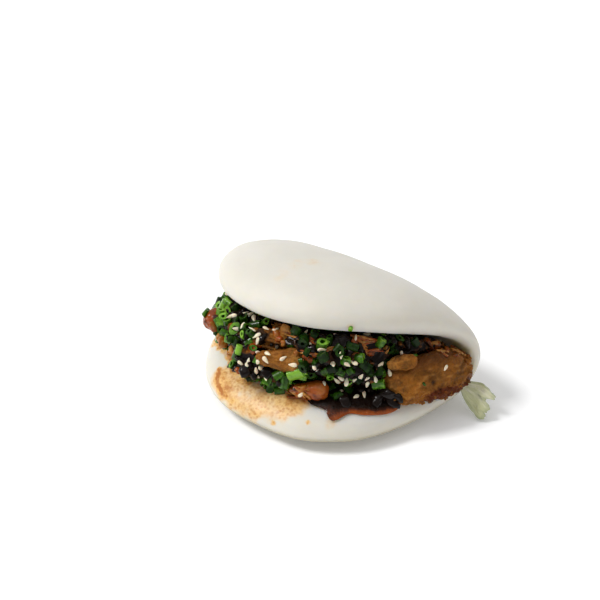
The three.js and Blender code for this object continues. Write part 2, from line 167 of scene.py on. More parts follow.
def ball(name, cuts):
    """A ball of even square faces as a new object, and the ways to its vertices."""
    bm = bmesh.new()
    bmesh.ops.create_cube(bm, size=2)
    bmesh.ops.subdivide_edges(bm, edges=bm.edges[:], cuts=cuts, use_grid_fill=True)
    made = object_from(bm, name)
    ways = np.tan(points_of(made.data) * math.pi / 4)
    return made, ways / np.linalg.norm(ways, axis=1)[:, None]


def add_blob(bm, matrix, layer, tone, strength, bump):
    """Adds a small ball whose skin is moved in and out by the bump, a function of the place."""
    centre = matrix.to_translation()
    for vert in bmesh.ops.create_icosphere(bm, subdivisions=3, radius=1, matrix=matrix)["verts"]:
        vert.co += (vert.co - centre) * strength * bump(vert.co)
        vert[layer] = tone


WELD = 0.001 * MM


def remeshed(node_name, name, voxel, smoothing):
    """A copy of a solid as one even skin of small faces, with its edges smoothed."""
    bm = bmesh.new()
    bm.from_mesh(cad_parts[node_name].data)
    bmesh.ops.remove_doubles(bm, verts=bm.verts, dist=WELD)
    rough = object_from(bm, name + "_rough")
    skin = rough.modifiers.new("Skin", "REMESH")
    skin.mode = "VOXEL"
    skin.voxel_size = voxel
    bm = bmesh.new()
    bm.from_object(rough, bpy.context.evaluated_depsgraph_get())
    bpy.data.objects.remove(rough)
    for _ in range(smoothing):
        bmesh.ops.smooth_vert(bm, verts=bm.verts, factor=0.5,
                              use_axis_x=True, use_axis_y=True, use_axis_z=True)
    return object_from(bm, name)


def piece(made, material, slot, *nodes):
    """Finishes a piece: its material, the body it rides on and the solids it stands for. The slot is not
    used.
    """
    made.data.materials.clear()
    made.data.materials.append(material)
    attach(made, BODY)
    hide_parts(*nodes)


# Shader nodes

class Value:
    """An output of a shader node. Values add, subtract and multiply like numbers."""

    def __init__(self, tree, socket):
        self.tree = tree
        self.socket = socket

    def __add__(self, other):
        return maths("ADD", self, other)

    def __sub__(self, other):
        return maths("SUBTRACT", self, other)

    def __mul__(self, other):
        return maths("MULTIPLY", self, other)


def feed(socket, value):
    """Links an input to a Value, or sets it to a number or a colour."""
    if isinstance(value, Value):
        value.tree.links.new(value.socket, socket)
    else:
        socket.default_value = value


def node(tree, kind, inputs, output=0, **settings):
    """Adds a node, sets it up, feeds its inputs and returns one of its outputs."""
    made = tree.nodes.new(kind)
    for name, value in settings.items():
        setattr(made, name, value)
    for key, value in inputs.items():
        feed(made.inputs[key], value)
    return Value(tree, made.outputs[output])


def maths(operation, first, second):
    return node(first.tree, "ShaderNodeMath", {0: first, 1: second}, operation=operation)


def shares(value, low, high, to_low=0.0, to_high=1.0):
    """Goes smoothly from one number to another while the value goes from low to high."""
    return node(value.tree, "ShaderNodeMapRange", {
        "Value": value, "From Min": low, "From Max": high, "To Min": to_low, "To Max": to_high,
    }, interpolation_type="SMOOTHSTEP")


def layered(color, *layers):
    """A colour with others laid over it in turn, each as (mask, colour)."""
    for mask, over in layers:
        # A mix node's inputs 0, 6 and 7 are the factor and the two colours, and output 2 the mix.
        color = node(mask.tree, "ShaderNodeMix", {0: mask, 6: color, 7: over}, 2, data_type="RGBA")
    return color


def ramp(value, stops):
    """A colour ramp along a value, from a list of (position, colour)."""
    made = value.tree.nodes.new("ShaderNodeValToRGB")
    feed(made.inputs["Fac"], value)
    elements = made.color_ramp.elements
    while len(elements) < len(stops):
        elements.new(0.5)
    for element, (position, color) in zip(elements, stops):
        element.position = position
        element.color = (*tuple(color)[:3], 1)
    return Value(value.tree, made.outputs["Color"])


def mottle_nodes(where, per_metre, low, high):
    """Soft blotches: how strong the noise of one size is, between two limits."""
    blotch = node(where.tree, "ShaderNodeTexNoise", {
        "Vector": where, "Scale": per_metre, "Detail": 4.0, "Roughness": 0.6,
    })
    return shares(blotch, low, high)


def speckle_nodes(where, per_metre, reach):
    """Small separate dots, one to a cell, fading towards their edges."""
    cells = node(where.tree, "ShaderNodeTexVoronoi", {"Vector": where, "Scale": per_metre})
    return shares(maths("DIVIDE", cells, reach), 0.5, 1.0, 1.0, 0.0)


def grain_nodes(where, per_metre, height):
    """Fine relief, as a height in metres."""
    fine = node(where.tree, "ShaderNodeTexNoise", {
        "Vector": where, "Scale": per_metre, "Detail": 6.0, "Roughness": 0.65,
    })
    return fine * height


# The effects that materials share. Each node group: what builds it, what it gives, and its inputs
# besides the place, with their defaults.
EFFECTS = {
    "Mottle": (mottle_nodes, "Mask", {"Per Metre": 200.0, "Low": 0.4, "High": 0.6}),
    "Speckle": (speckle_nodes, "Mask", {"Per Metre": 800.0, "Reach": 0.4}),
    "Grain": (grain_nodes, "Height", {"Per Metre": 1000.0, "Height": 0.0001}),
}


def effect_group(name):
    """The node group of an effect, built at its first use."""
    if name in bpy.data.node_groups:
        return bpy.data.node_groups[name]
    build, result, numbers = EFFECTS[name]
    tree = bpy.data.node_groups.new(name, "ShaderNodeTree")
    tree.interface.new_socket("Vector", in_out="INPUT", socket_type="NodeSocketVector")
    for label, default in numbers.items():
        socket = tree.interface.new_socket(label, in_out="INPUT", socket_type="NodeSocketFloat")
        socket.default_value = default
    tree.interface.new_socket(result, in_out="OUTPUT", socket_type="NodeSocketFloat")
    given = tree.nodes.new("NodeGroupInput").outputs
    values = [Value(tree, given[label]) for label in ("Vector", *numbers)]
    feed(tree.nodes.new("NodeGroupOutput").inputs[result], build(*values))
    return tree


class Paint:
    """A new material: the masks and effects that feed its shader, and the shader itself."""

    def __init__(self, name):
        self.material = bpy.data.materials.new(name)
        self.material.use_nodes = True
        self.tree = self.material.node_tree
        self.where = node(self.tree, "ShaderNodeTexCoord", {}, "Object")

    def mask(self, name):
        """A number that the mesh carries."""
        return node(self.tree, "ShaderNodeAttribute", {}, "Fac", attribute_name=name)

    def effect(self, name, *numbers):
        inputs = dict(zip(("Vector", *EFFECTS[name][2]), (self.where, *numbers)))
        return node(self.tree, "ShaderNodeGroup", inputs, node_tree=effect_group(name))

    def mottle(self, per_metre, low, high):
        return self.effect("Mottle", per_metre, low, high)

    def grain(self, per_metre, height):
        return self.effect("Grain", per_metre, height)

    def finish(self, color, height=None, **values):
        """Feeds the shader its colour, relief and other values, and returns the material."""
        if height is not None:
            bump = {"Height": height, "Strength": 1.0, "Distance": 1.0}
            values["Normal"] = node(self.tree, "ShaderNodeBump", bump)
        shader = self.tree.nodes["Principled BSDF"]
        for key, value in {"Base_Color": color, **values}.items():
            feed(shader.inputs[key.replace("_", " ")], value)
        return self.material


# Settings

def number_setting(name, description, default, **kind):
    return FloatProperty(name=name, description=description, default=default, **kind)


def length_setting(name, description, default):
    return number_setting(name, description, default * MM, unit="LENGTH", subtype="DISTANCE", precision=4)


def angle_setting(name, description, default):
    return number_setting(name, description, math.radians(default), unit="ROTATION", subtype="ANGLE")


def color_setting(name, description, *default):
    return FloatVectorProperty(name=name, description=description, default=(*default, 1),
                               subtype="COLOR", size=4, min=0.0, max=1.0)


class BunSettings(bpy.types.PropertyGroup):
    half_length: length_setting("Half Length", "Half the length of the fold", 51)
    lower_reach: length_setting("Lower Reach", "From the fold to the rim of the lower lobe", 76.5)
    upper_reach: length_setting("Upper Reach", "From the fold to the rim of the upper lobe", 74.3)
    lower_half: length_setting("Lower Half Thickness", "Half the thickness of the lower lobe", 9.6)
    upper_half: length_setting("Upper Half Thickness", "Half the thickness of the upper lobe", 11.6)
    fold_half: length_setting("Fold Half Thickness", "Half the thickness at the fold", 6.5)
    mouth_angle: angle_setting("Mouth Angle", "Angle between the lobes at the fold", 31.3)
    divisions: IntProperty(name="Divisions", description="Faces along each side of the dough",
                           default=108, min=8, max=120)
    dough: color_setting("Dough", "Colour of the steamed dough", 0.705, 0.68, 0.618)
    # Painted shade: the dough takes this darker colour where it faces down near the floor.
    under: color_setting("Under", "Colour of the dough where it faces down", 0.41, 0.375, 0.275)
    stain: color_setting("Stain", "Colour of the dried sauce on the dough", 0.80, 0.51, 0.175)
    speck: color_setting("Speck", "Colour of the specks in the dried sauce", 0.50, 0.19, 0.035)
    oil: color_setting("Oil", "Colour of the dough where fat has soaked in", 0.36, 0.31, 0.12)
    wet: color_setting("Wet", "Colour of the wet sauce on the dough", 0.40, 0.125, 0.025)


class FillingSettings(bpy.types.PropertyGroup):
    chive_radius: length_setting("Chive Radius", "Radius of a usual chive ring", 2.05)
    chive_wall: length_setting("Chive Wall", "Thickness of a chive's wall", 1.15)
    chive_length: length_setting("Chive Length", "Length of a usual chive ring", 3.3)
    seed_length: length_setting("Seed Length", "Length of a sesame seed", 3.3)
    seed_width: length_setting("Seed Width", "Width of a sesame seed", 2.15)
    seed_thickness: length_setting("Seed Thickness", "Thickness of a sesame seed", 1.15)
    chive_dark: color_setting("Dark Chive", "Colour of a chive under sauce", 0.003, 0.011, 0.0012)
    chive_bright: color_setting("Bright Chive", "Colour of a clean chive", 0.19, 0.40, 0.035)
    seed: color_setting("Seed", "Colour of a sesame seed", 0.86, 0.76, 0.56)
    duck: color_setting("Duck", "Colour of the roast duck", 0.29, 0.100, 0.009)
    dark_duck: color_setting("Dark Duck", "Colour of the duck's dark patches", 0.11, 0.032, 0.005)
    olive_duck: color_setting("Olive Duck", "Colour of the duck's dull patches", 0.15, 0.062, 0.010)
    pale_duck: color_setting("Pale Duck", "Colour of the duck's pale fibres", 0.50, 0.22, 0.045)
    crisp: color_setting("Crisp Edge", "Colour of the duck's crisp edge", 0.105, 0.020, 0.003)
    glaze: color_setting("Glaze", "Colour of the glaze on the duck", 0.30, 0.046, 0.002)
    sauce: color_setting("Sauce", "Colour of the sauce where it is deep", 0.006, 0.0025, 0.0015)
    thin_sauce: color_setting("Thin Sauce", "Colour of the sauce where it is thin", 0.36, 0.07, 0.004)
    lettuce: color_setting("Lettuce", "Colour of the lettuce", 0.52, 0.525, 0.34)


class StageSettings(bpy.types.PropertyGroup):
    key_strength: number_setting("Key Strength", "Strength of the light from the left", 2.25)
    key_width: angle_setting("Key Width", "Angle that the light from the left fills", 19)
    top_strength: number_setting("Top Strength", "Strength of the light from above", 0.6)
    top_width: angle_setting("Top Width", "Angle that the light from above fills", 70)
    low_sky: number_setting("Low Sky", "Brightness of the sky at eye level", 0.42)
    high_sky: number_setting("High Sky", "Brightness of the sky overhead", 0.36)
    floor: color_setting("Floor", "Colour of the floor", 0.94, 0.94, 0.945)
    floor_glow: number_setting("Floor Glow", "Light that the floor gives off", 0.12)


class BaoSettings(bpy.types.PropertyGroup):
    bun: PointerProperty(type=BunSettings)
    filling: PointerProperty(type=FillingSettings)
    stage: PointerProperty(type=StageSettings)


# The camera's rays

def view_axes():
    back = Vector((
        math.sin(VIEW_AZIMUTH) * math.cos(VIEW_ELEVATION),
        -math.cos(VIEW_AZIMUTH) * math.cos(VIEW_ELEVATION),
        math.sin(VIEW_ELEVATION),
    ))
    right = Vector((math.cos(VIEW_AZIMUTH), math.sin(VIEW_AZIMUTH), 0))
    return back, right, back.cross(right)


def from_view(way):
    """A direction that is given in the camera's axes: right, up and back."""
    back, right, up = view_axes()
    return way[0] * right + way[1] * up + way[2] * back


def photo_ray(x, y):
    """The ray of a pixel of the photo, as a start and a direction."""
    camera = bpy.context.scene.camera
    across = (x / PHOTO_SIZE - 0.5) * SENSOR
    up = (0.5 - y / PHOTO_SIZE) * SENSOR
    turn = camera.matrix_world.to_quaternion()
    return camera.matrix_world.translation, (turn @ Vector((across, up, -VIEW_LENS))).normalized()


def photo_pixel(place):
    """Where a place shows in the photo."""
    camera = bpy.context.scene.camera
    x, y, z = camera.matrix_world.inverted() @ place
    return PHOTO_SIZE * (0.5 - x / z * VIEW_LENS / SENSOR), PHOTO_SIZE * (0.5 + y / z * VIEW_LENS / SENSOR)


# The dough

def bend_angle(v, mouth_angle):
    arch = np.clip((v - FOLD_MIDDLE - FOLD_HALF_SPAN) / ARCH_SPAN, 0, MOST_ARCH)
    return (math.pi - mouth_angle) * upper_share(v) + ARCH_ANGLE * arch


def upper_share(v):
    return smooth((v - FOLD_START) / (2 * FOLD_HALF_SPAN))


def centre_line(mouth_angle):
    """The bent centre line of the sheet as arrays of v, y and z."""
    steps = np.arange(int(SHEET_END / SHEET_STEP))
    halves = []
    for heading in (-1, 1):
        angle = bend_angle(FOLD_START + heading * SHEET_STEP * (steps + 0.5), mouth_angle)
        y = FOLD_Y + heading * SHEET_STEP * np.cumsum(np.cos(angle))
        z = heading * SHEET_STEP * np.cumsum(np.sin(angle))
        v = FOLD_START + heading * SHEET_STEP * (steps + 1)
        halves.append(np.stack((v, y, z)))
    before, after = halves
    start = np.array([[FOLD_START], [FOLD_Y], [0]])
    return np.hstack((before[:, ::-1], start, after))


def rim_profile(share, edge):
    """How far out and how high the dough is, from the middle of a face (0) to the rim (1)."""
    inner = share / RIM_SHARE * RIM_DISTANCE
    start = np.arccos(np.sqrt(1 - RIM_DISTANCE ** edge))
    turn = lerp(start, math.pi / 2, (share - RIM_SHARE) / (1 - RIM_SHARE))
    inside = share < RIM_SHARE
    distance = np.where(inside, inner, np.abs(np.sin(turn)) ** (2 / edge))
    height = np.where(inside, np.sqrt(np.maximum(0, 1 - inner ** edge)), np.cos(turn))
    return distance, height


def lower_top_rest(lower_half):
    """Height of the lower lobe's centre line above the floor."""
    distance = np.linspace(0, 1, 100, endpoint=False)
    height = np.sqrt(1 - distance ** LOWER_EDGE) * (1 - UNDERCUT * distance ** 2)
    return np.max(LOWER_DROOP * distance ** 2 + lower_half * height) - FLATTENING


def lobe_top(x, y, sizes):
    """Height of the upper face of the lower lobe at a place in plan, all in millimetres."""
    v = y - FOLD_Y + FOLD_START
    distance = round_sum(x / (sizes.half_length / MM), v / (sizes.lower_reach / MM), LOWER_PLAN)
    half = sizes.lower_half / MM
    height = np.sqrt(np.maximum(0, 1 - distance ** LOWER_EDGE))
    return lower_top_rest(half) + half * height - LOWER_DROOP * distance ** 2


def fold_dough(directions, sizes, grow):
    """Directions on the unit ball moved to the skin of the folded bun, in millimetres."""
    x, y, z = directions.T
    half_length = sizes.half_length / MM
    lower_half, upper_half = sizes.lower_half / MM, sizes.upper_half / MM
    flat = np.hypot(x, y)
    along = np.where(flat > 0, x / np.maximum(flat, 1e-12), 1)
    across = np.where(flat > 0, y / np.maximum(flat, 1e-12), 0)
    above = across > 0
    reach = np.where(above, sizes.upper_reach / MM, sizes.lower_reach / MM)
    plan = np.where(above, UPPER_PLAN, LOWER_PLAN)
    radius = grow + 1 / round_sum(along / half_length, across / reach, plan)
    edge = lerp(LOWER_EDGE, UPPER_EDGE, smooth((across + EDGE_BLEND) / (2 * EDGE_BLEND)))
    distance, height = rim_profile(np.arctan2(flat, np.abs(z)) / (math.pi / 2), edge)

    v = radius * distance * across
    flare = FOLD_FLARE / half_length * bell((v - FOLD_MIDDLE) / FOLD_FLARE_SPAN)
    u = radius * distance * along * (1 + flare)
    upper = upper_share(v)
    at_fold = bell((v - FOLD_MIDDLE) / FOLD_THIN_SPAN)
    thickness = grow + lerp(lerp(lower_half, upper_half, upper), sizes.fold_half / MM, at_fold)
    sag = UPPER_DOME * (u / half_length) ** 2 * upper - LOWER_DROOP * distance ** 2 * (1 - upper)
    undercut = np.where(z < 0, UNDERCUT * distance ** 2 * (1 - upper), 0)
    offset = np.sign(z) * thickness * height * (1 - undercut) + sag
    angle = bend_angle(v, sizes.mouth_angle)
    line_v, line_y, line_z = centre_line(sizes.mouth_angle)
    px = u + UPPER_SKEW * np.maximum(v, 0)
    py = np.interp(v, line_v, line_y) - offset * np.sin(angle) - FOLD_Y
    pz = np.interp(v, line_v, line_z) + offset * np.cos(angle)

    turn, roll = UPPER_TURN * upper, UPPER_ROLL * upper
    px, py = px * np.cos(turn) - py * np.sin(turn), px * np.sin(turn) + py * np.cos(turn)
    px, pz = px * np.cos(roll) + pz * np.sin(roll), pz * np.cos(roll) - px * np.sin(roll)
    pz = np.maximum(pz + lower_top_rest(lower_half), 0)
    return np.stack((px, py + FOLD_Y, pz), axis=1)


# Stains on the dough: photo pixel, radius in millimetres, strength. Above 1 they are wet.
STAINS = [
    ((221, 378), 6, 1.0), ((224, 388), 6, 1.05), ((231, 397), 6, 0.9), ((243, 402), 7, 0.85),
    ((256, 406), 7, 0.9), ((270, 409), 6, 0.85), ((284, 408), 6, 0.9), ((296, 403), 6, 0.95),
    ((240, 383), 8, 0.85), ((256, 392), 6, 0.8), ((230, 373), 6, 0.85), ((215, 343), 2.5, 1.1),
    ((216, 338), 3, 1.4), ((220, 347), 2.2, 1.3), ((233, 361), 2.5, 1.4), ((233, 370), 2.5, 1.3),
    ((240, 380), 2.5, 1.2), ((290, 402), 4, 1.15), ((273, 423), 1.3, 1.0), ((308, 422), 1.2, 1.05),
    ((219, 369), 1.5, 1.4), ((218, 373), 1.5, 1.5), ((217, 377), 1.5, 1.55), ((217, 381), 1.5, 1.6),
    ((218, 385), 1.5, 1.6), ((220, 389), 1.5, 1.55), ((222, 393), 1.5, 1.5), ((226, 397), 1.4, 1.4),
    ((232, 401), 1.3, 1.2), ((226, 387), 2.6, 1.25), ((350, 327), 2.4, 0.4), ((331, 424), 3, 0.5),
    ((282, 276), 5, 0.29), ((289, 270), 5, 0.26), ((299, 262), 6, 0.32), ((310, 260), 6, 0.32),
    ((267, 398), 6, 0.9), ((219, 344), 2.2, 1.15), ((224, 350), 2.2, 1.1), ((229, 357), 2.2, 1.15),
    ((234, 364), 2.4, 1.1), ((238, 372), 3, 1.15), ((247, 380), 4, 1.1), ((280, 399), 5, 0.95),
    ((290, 397), 4, 1.1), ((300, 402), 3, 1.2), ((234, 352), 4, 1.3),
]
# Where the duck's fat has soaked into the dough, in the same way.
OIL = [
    ((446, 344), 3, 0.6), ((452, 350), 3.4, 1.0), ((458, 355), 3.4, 1.2), ((463, 360), 3.4, 1.2),
    ((468, 366), 3, 0.9), ((450, 341), 3, 1.0), ((457, 346), 3, 1.2), ((463, 352), 3, 1.2),
]
# Dents in the dough, or bumps where the depth is below 0: photo pixel, radius and depth in millimetres.
DIMPLES = [
    ((283, 304), 2.2, 0.16), ((289, 307), 1.8, 0.14), ((296, 305), 2.0, 0.16), ((302, 309), 1.8, 0.12),
    ((275, 300), 2.2, 0.12), ((309, 305), 1.8, 0.1), ((326, 312), 2.0, 0.12), ((345, 262), 6, -0.25),
    ((372, 268), 5, -0.22), ((390, 276), 4, 0.15), ((352, 290), 3.0, 0.12), ((243, 262), 3.0, 0.1),
]
RELIEF = [(16 * MM, 0.30 * MM), (6 * MM, 0.07 * MM), (2 * MM, 0.025 * MM)]
SPOT_RAGGED, SPOT_EDGE = 0.3, 1.35  # how ragged a spot's edge is, and where it ends in radii


def place_in_photo(tree, pixel):
    place = tree.ray_cast(*photo_ray(*pixel))[0]
    if place is None:
        raise RuntimeError(f"Pixel {pixel} of the photo isn't on the bun")
    return place


def distance_from(place, points):
    return np.linalg.norm(points - np.array(place), axis=1)


def make_bun(sizes):
    bun, ways = ball("bun_dough", sizes.divisions - 1)
    mesh = bun.data
    set_points(mesh, fold_dough(ways, sizes, -SKIN) * MM)

    points, normals = points_of(mesh), normals_of(mesh)
    tree = BVHTree.FromPolygons(points.tolist(), [p.vertices[:] for p in mesh.polygons])
    # Painted shade: how far each point of the dough faces down and lies low, near the floor.
    set_mask(mesh, "under", smooth((0.3 - normals[:, 2]) / 0.9) * smooth((16 - points[:, 2] / MM) / 6))
    rise = sum(height * (fine_noise(points, size, 3.1) - 0.4) for size, height in RELIEF)
    for pixel, reach, depth in DIMPLES:
        rise -= depth * MM * bell(distance_from(place_in_photo(tree, pixel), points) / (reach * MM))
    ragged = fine_noise(points, 3 * MM, 8.1)
    for name, spots in (("stain", STAINS), ("oil", OIL)):
        soaked = np.zeros(len(points))
        for pixel, reach, strength in spots:
            away = distance_from(place_in_photo(tree, pixel), points) / (reach * MM) + SPOT_RAGGED * ragged
            soaked = np.maximum(soaked, strength * smooth(SPOT_EDGE - away))
        set_mask(mesh, name, soaked)
    points = points + normals * rise[:, None]
    points[:, 2] = np.maximum(points[:, 2], 0)
    set_points(mesh, points)
    return bun


# The duck. Each piece: the solid it follows, how its grain lies (yaw, pitch and lean in degrees),
# the length of its fibres and the height of its crags in millimetres, how crisp it gets at its far
# end and lower edge, which end is paler (1 is the far one, -1 the near one), the share of it under
# dark sauce and whether it is glazed.
DUCK = {
    "duck_slice": ("duck_slice_right", (66, -3, 56), 3, 0.95, 1.0, 0, -0.3, False),
    "duck_strip": ("duck_strip_right", (42, 10, 40), 5, 0.7, 0.0, -1, 0.25, False),
    "duck_chunk_center": ("duck_piece_center", (32, -4, 50), 6, 0.8, 0.1, 1, -0.35, False),
    "duck_chunk_upper": ("duck_piece_upper", (30, -8, 45), 8, 0.9, 0.3, 1, 0.5, False),
    "duck_chunk_left": ("duck_piece_left_end", (70, 5, 20), 4, 0.7, 0.2, 0, 0.15, True),
    "duck_chunk_front": ("duck_piece_front", (36, 0, 30), 6, 0.3, 0.0, 1, 0.1, True),
}
DUCK_VOXEL, DUCK_SMOOTHING = 0.32 * MM, 8
FIBRE_FINE = 1.2
TORN_REACH = 1.1 * MM
THINNED = 0.35  # share by which a piece with a pale far end thins towards its near end
CRUMBS = 46
CRUMB_RADIUS = (0.4 * MM, 1.3 * MM)
CRUMB_SUNK = 0.45
CRUMB_TONES = (0.0, 0.9)
CRUMB_BUMP, CRUMB_BUMP_SIZE = 0.8, 0.8 * MM


def make_duck(name):
    node_name, (yaw, pitch, lean), fibre, crag, crispness, pale_end, sauced, _ = DUCK[name]
    made = remeshed(node_name, name, DUCK_VOXEL, DUCK_SMOOTHING)
    mesh = made.data
    points, normals = points_of(mesh), normals_of(mesh)
    turn = np.array(Euler((math.radians(lean), math.radians(-pitch), math.radians(yaw))).to_matrix())
    local = (points - points.mean(axis=0)) @ turn
    share = local / np.abs(local).max(axis=0)
    stretched = local / (np.array([fibre, FIBRE_FINE, FIBRE_FINE]) * MM)
    fibres = fine_noise(stretched, 1.0, 4.2)
    grooves = -np.abs(fine_noise(stretched, 2.0, 7.4))
    lumps = fine_noise(points, 4.5 * MM, 9.7)
    bumps = fine_noise(points, 1.7 * MM, 1.3)
    end = smooth((share[:, 0] - 0.55) / 0.4)
    edge = smooth((-share[:, 1] - 0.32) / 0.4)
    burnt = edge * (0.5 + 0.9 * bell((share[:, 0] - 0.1) / 0.45)) + 0.4 * end
    crisp = crispness * np.clip(burnt + 0.5 * lumps + 0.3 * bumps, 0, 1)
    ragged = fine_noise(points, 1.1 * MM, 6.6) * crisp
    rise = crag * MM * (0.7 * lumps + 0.25 * fibres + 0.8 * grooves + 0.45 * bumps + 0.9 * ragged)
    outward = (end * crispness * TORN_REACH * (0.2 + 2.2 * fine_noise(points, 2.6 * MM, 5.1)))[:, None]
    thin = (local * [0, 1, 1]) @ turn.T * (THINNED * (pale_end == 1) * smooth(0.5 - share[:, 0]))[:, None]
    set_points(mesh, points + normals * rise[:, None] + turn[:, 0] * outward - thin)
    wet = fine_noise(points, 3.5 * MM, 2.7) - 0.4 * share[:, 0] - 0.3 * share[:, 1]
    masks = {
        "crisp": crisp,
        "grain": 0.5 + 0.5 * fibres + 0.6 * grooves,
        "pale": smooth((share[:, 0] * pale_end - 0.1) / 0.6) if pale_end else 0 * crisp,
        "sauced": smooth((wet + 1.2 * sauced - 0.3) / 0.6),
        # Painted shade: the upper side of each piece is darkened, most on the slice, where the upper lobe
        # shades it.
        "painted_shade": smooth((share[:, 1] - 0.1) / 0.7) * (0.4 + 0.6 * crispness),
    }
    for mask, values in masks.items():
        set_mask(mesh, mask, values)
    if crispness == 1:
        add_crumbs(made, np.flatnonzero((end > 0.4) | (edge > 0.9) & (crisp > 0.6)))
    return made


def add_crumbs(made, rim):
    """Crisp crumbs, sunk into a piece of duck at some of the given vertices."""
    draws = random.Random(8)
    bm = bmesh.new()
    bm.from_mesh(made.data)
    bm.verts.ensure_lookup_table()
    crisp = bm.verts.layers.float["crisp"]
    seats = [(bm.verts[i].co.copy(), bm.verts[i].normal.copy()) for i in draws.sample(list(rim), CRUMBS)]
    for place, normal in seats:
        sides = [draws.uniform(*CRUMB_RADIUS) for _ in range(3)]
        seat = Matrix.Translation(place - normal * CRUMB_SUNK * min(sides))
        add_blob(bm, seat @ Matrix.Diagonal(sides).to_4x4(), crisp, draws.uniform(*CRUMB_TONES),
                 CRUMB_BUMP, lambda co: noise.noise(co / CRUMB_BUMP_SIZE))
    bm.to_mesh(made.data)
    bm.free()
    made.data.shade_smooth()


# The sauce: an oval pool on the lower lobe with drips at its edge, in millimetres.
POOL_CENTRE = (25, -1)
POOL_HALF_LENGTH, POOL_HALF_WIDTH = 19, 12.6
POOL_TURN = math.radians(30)
POOL_DEPTH, POOL_EDGE_RISE = 1.5, 0.9
POOL_CUTS = 59
SAUCE_THIN_SPAN = 5.4  # how far in from its edge the sauce lets light through
SAUCE_DARK_AT, SAUCE_DARK_SPAN = math.radians(165), math.radians(42)
DRIPS = [(math.radians(-110), 4.5, 0.22), (math.radians(-145), 2.5, 0.3)]


def make_sauce(sizes):
    sauce, ways = ball("sauce", POOL_CUTS)
    mesh = sauce.data
    x, y, z = ways.T
    flat, angle = np.hypot(x, y), np.arctan2(y, x)
    share = np.arctan2(flat, np.abs(z)) / (math.pi / 2)
    run = sum(reach * bell(((angle - at + math.pi) % (2 * math.pi) - math.pi) / spread)
              for at, reach, spread in DRIPS)
    wavy = 0.7 * fine_noise(np.stack((np.cos(angle), np.sin(angle), 0 * angle), axis=1), 0.35, 2.2)
    oval = 1 / np.hypot(np.cos(angle) / POOL_HALF_LENGTH, np.sin(angle) / POOL_HALF_WIDTH)
    out = np.sin(share * math.pi / 2) ** 0.8
    radius = (oval + (run + wavy) * share ** 4) * out
    px, py = radius * np.cos(angle), radius * np.sin(angle)
    px, py = (POOL_CENTRE[0] + px * math.cos(POOL_TURN) - py * math.sin(POOL_TURN),
              POOL_CENTRE[1] + px * math.sin(POOL_TURN) + py * math.cos(POOL_TURN))
    swell = 0.5 * fine_noise(np.stack((px, py, 0 * px), axis=1), 3.2, 7.7) * (1 - share ** 8)
    height = np.sqrt(np.maximum(0, 1 - out ** 5))
    top = POOL_EDGE_RISE * 0.55 + height * (POOL_DEPTH + swell)
    bottom = POOL_EDGE_RISE * 0.55 - height * POOL_DEPTH
    level = lobe_top(px, py, sizes) + np.where(z > 0, top, bottom)
    set_points(mesh, np.stack((px, py, level), axis=1) * MM)
    thin = np.clip(1 - (oval + run + wavy) * (1 - out) / SAUCE_THIN_SPAN, 0, 1) ** 1.5
    set_mask(mesh, "rim", thin)
    set_mask(mesh, "thin", thin * (1 - 0.75 * bell((angle + SAUCE_DARK_AT) / SAUCE_DARK_SPAN)))
    return sauce


# The lettuce: a rib with a frill at its end, in millimetres.
LEAF_RIB = [(41, 25, 19.8), (46.5, 27, 18.2), (51.4, 29.2, 14.6), (54.4, 31, 9.6), (59.2, 31.4, 6.9),
            (65.2, 31.9, 5.2)]
LEAF_RIB_SIDE = (-0.3, 0.95, 0)
LEAF_FRILL_SIDE = (0.25, 0.68, 0.69)
LEAF_FRILL_START, LEAF_FRILL_FULL = 0.46, 0.74
LEAF_LOWER_START = 0.5
LEAF_BULGE, LEAF_BULGE_AT, LEAF_BULGE_SPAN = 0.9, 0.78, 0.15  # how far it bulges to its upper side
LEAF_RIB_HALF, LEAF_FRILL_HALF = 2.4, 5.6
LEAF_THICKNESS = 0.4
# Where the end is torn: place across it, depth as a share of the length, width of the tear.
LEAF_TEARS = [
    (0.42, 0.1, 0.1), (0.26, 0.08, 0.12), (-0.45, 0.03, 0.06), (-1.02, 0.04, 0.12), (1.02, 0.05, 0.1),
]
LEAF_FRAY, LEAF_FRAY_SIZE = 0.03, 0.12
LEAF_REACH = 0.985


def spline_points(knots, shares_along):
    """Points at the given shares of a smooth curve through the knots, and its tangents."""
    knots = np.array(knots, float)
    padded = np.vstack((2 * knots[0] - knots[1], knots, 2 * knots[-1] - knots[-2]))
    fine = np.linspace(0, len(knots) - 1, 200)
    index = np.minimum(fine.astype(int), len(knots) - 2)
    t = (fine - index)[:, None]
    a, b, c, d = (padded[index + i] for i in range(4))
    line = 0.5 * (2 * b + (c - a) * t + (2 * a - 5 * b + 4 * c - d) * t ** 2
                  + (3 * b - a - 3 * c + d) * t ** 3)
    run = np.concatenate(([0], np.cumsum(np.linalg.norm(np.diff(line, axis=0), axis=1))))
    run /= run[-1]
    points, tangents = (
        np.stack([np.interp(shares_along, run, each[:, i]) for i in range(3)], axis=1)
        for each in (line, np.gradient(line, axis=0))
    )
    return points, tangents / np.linalg.norm(tangents, axis=1)[:, None]


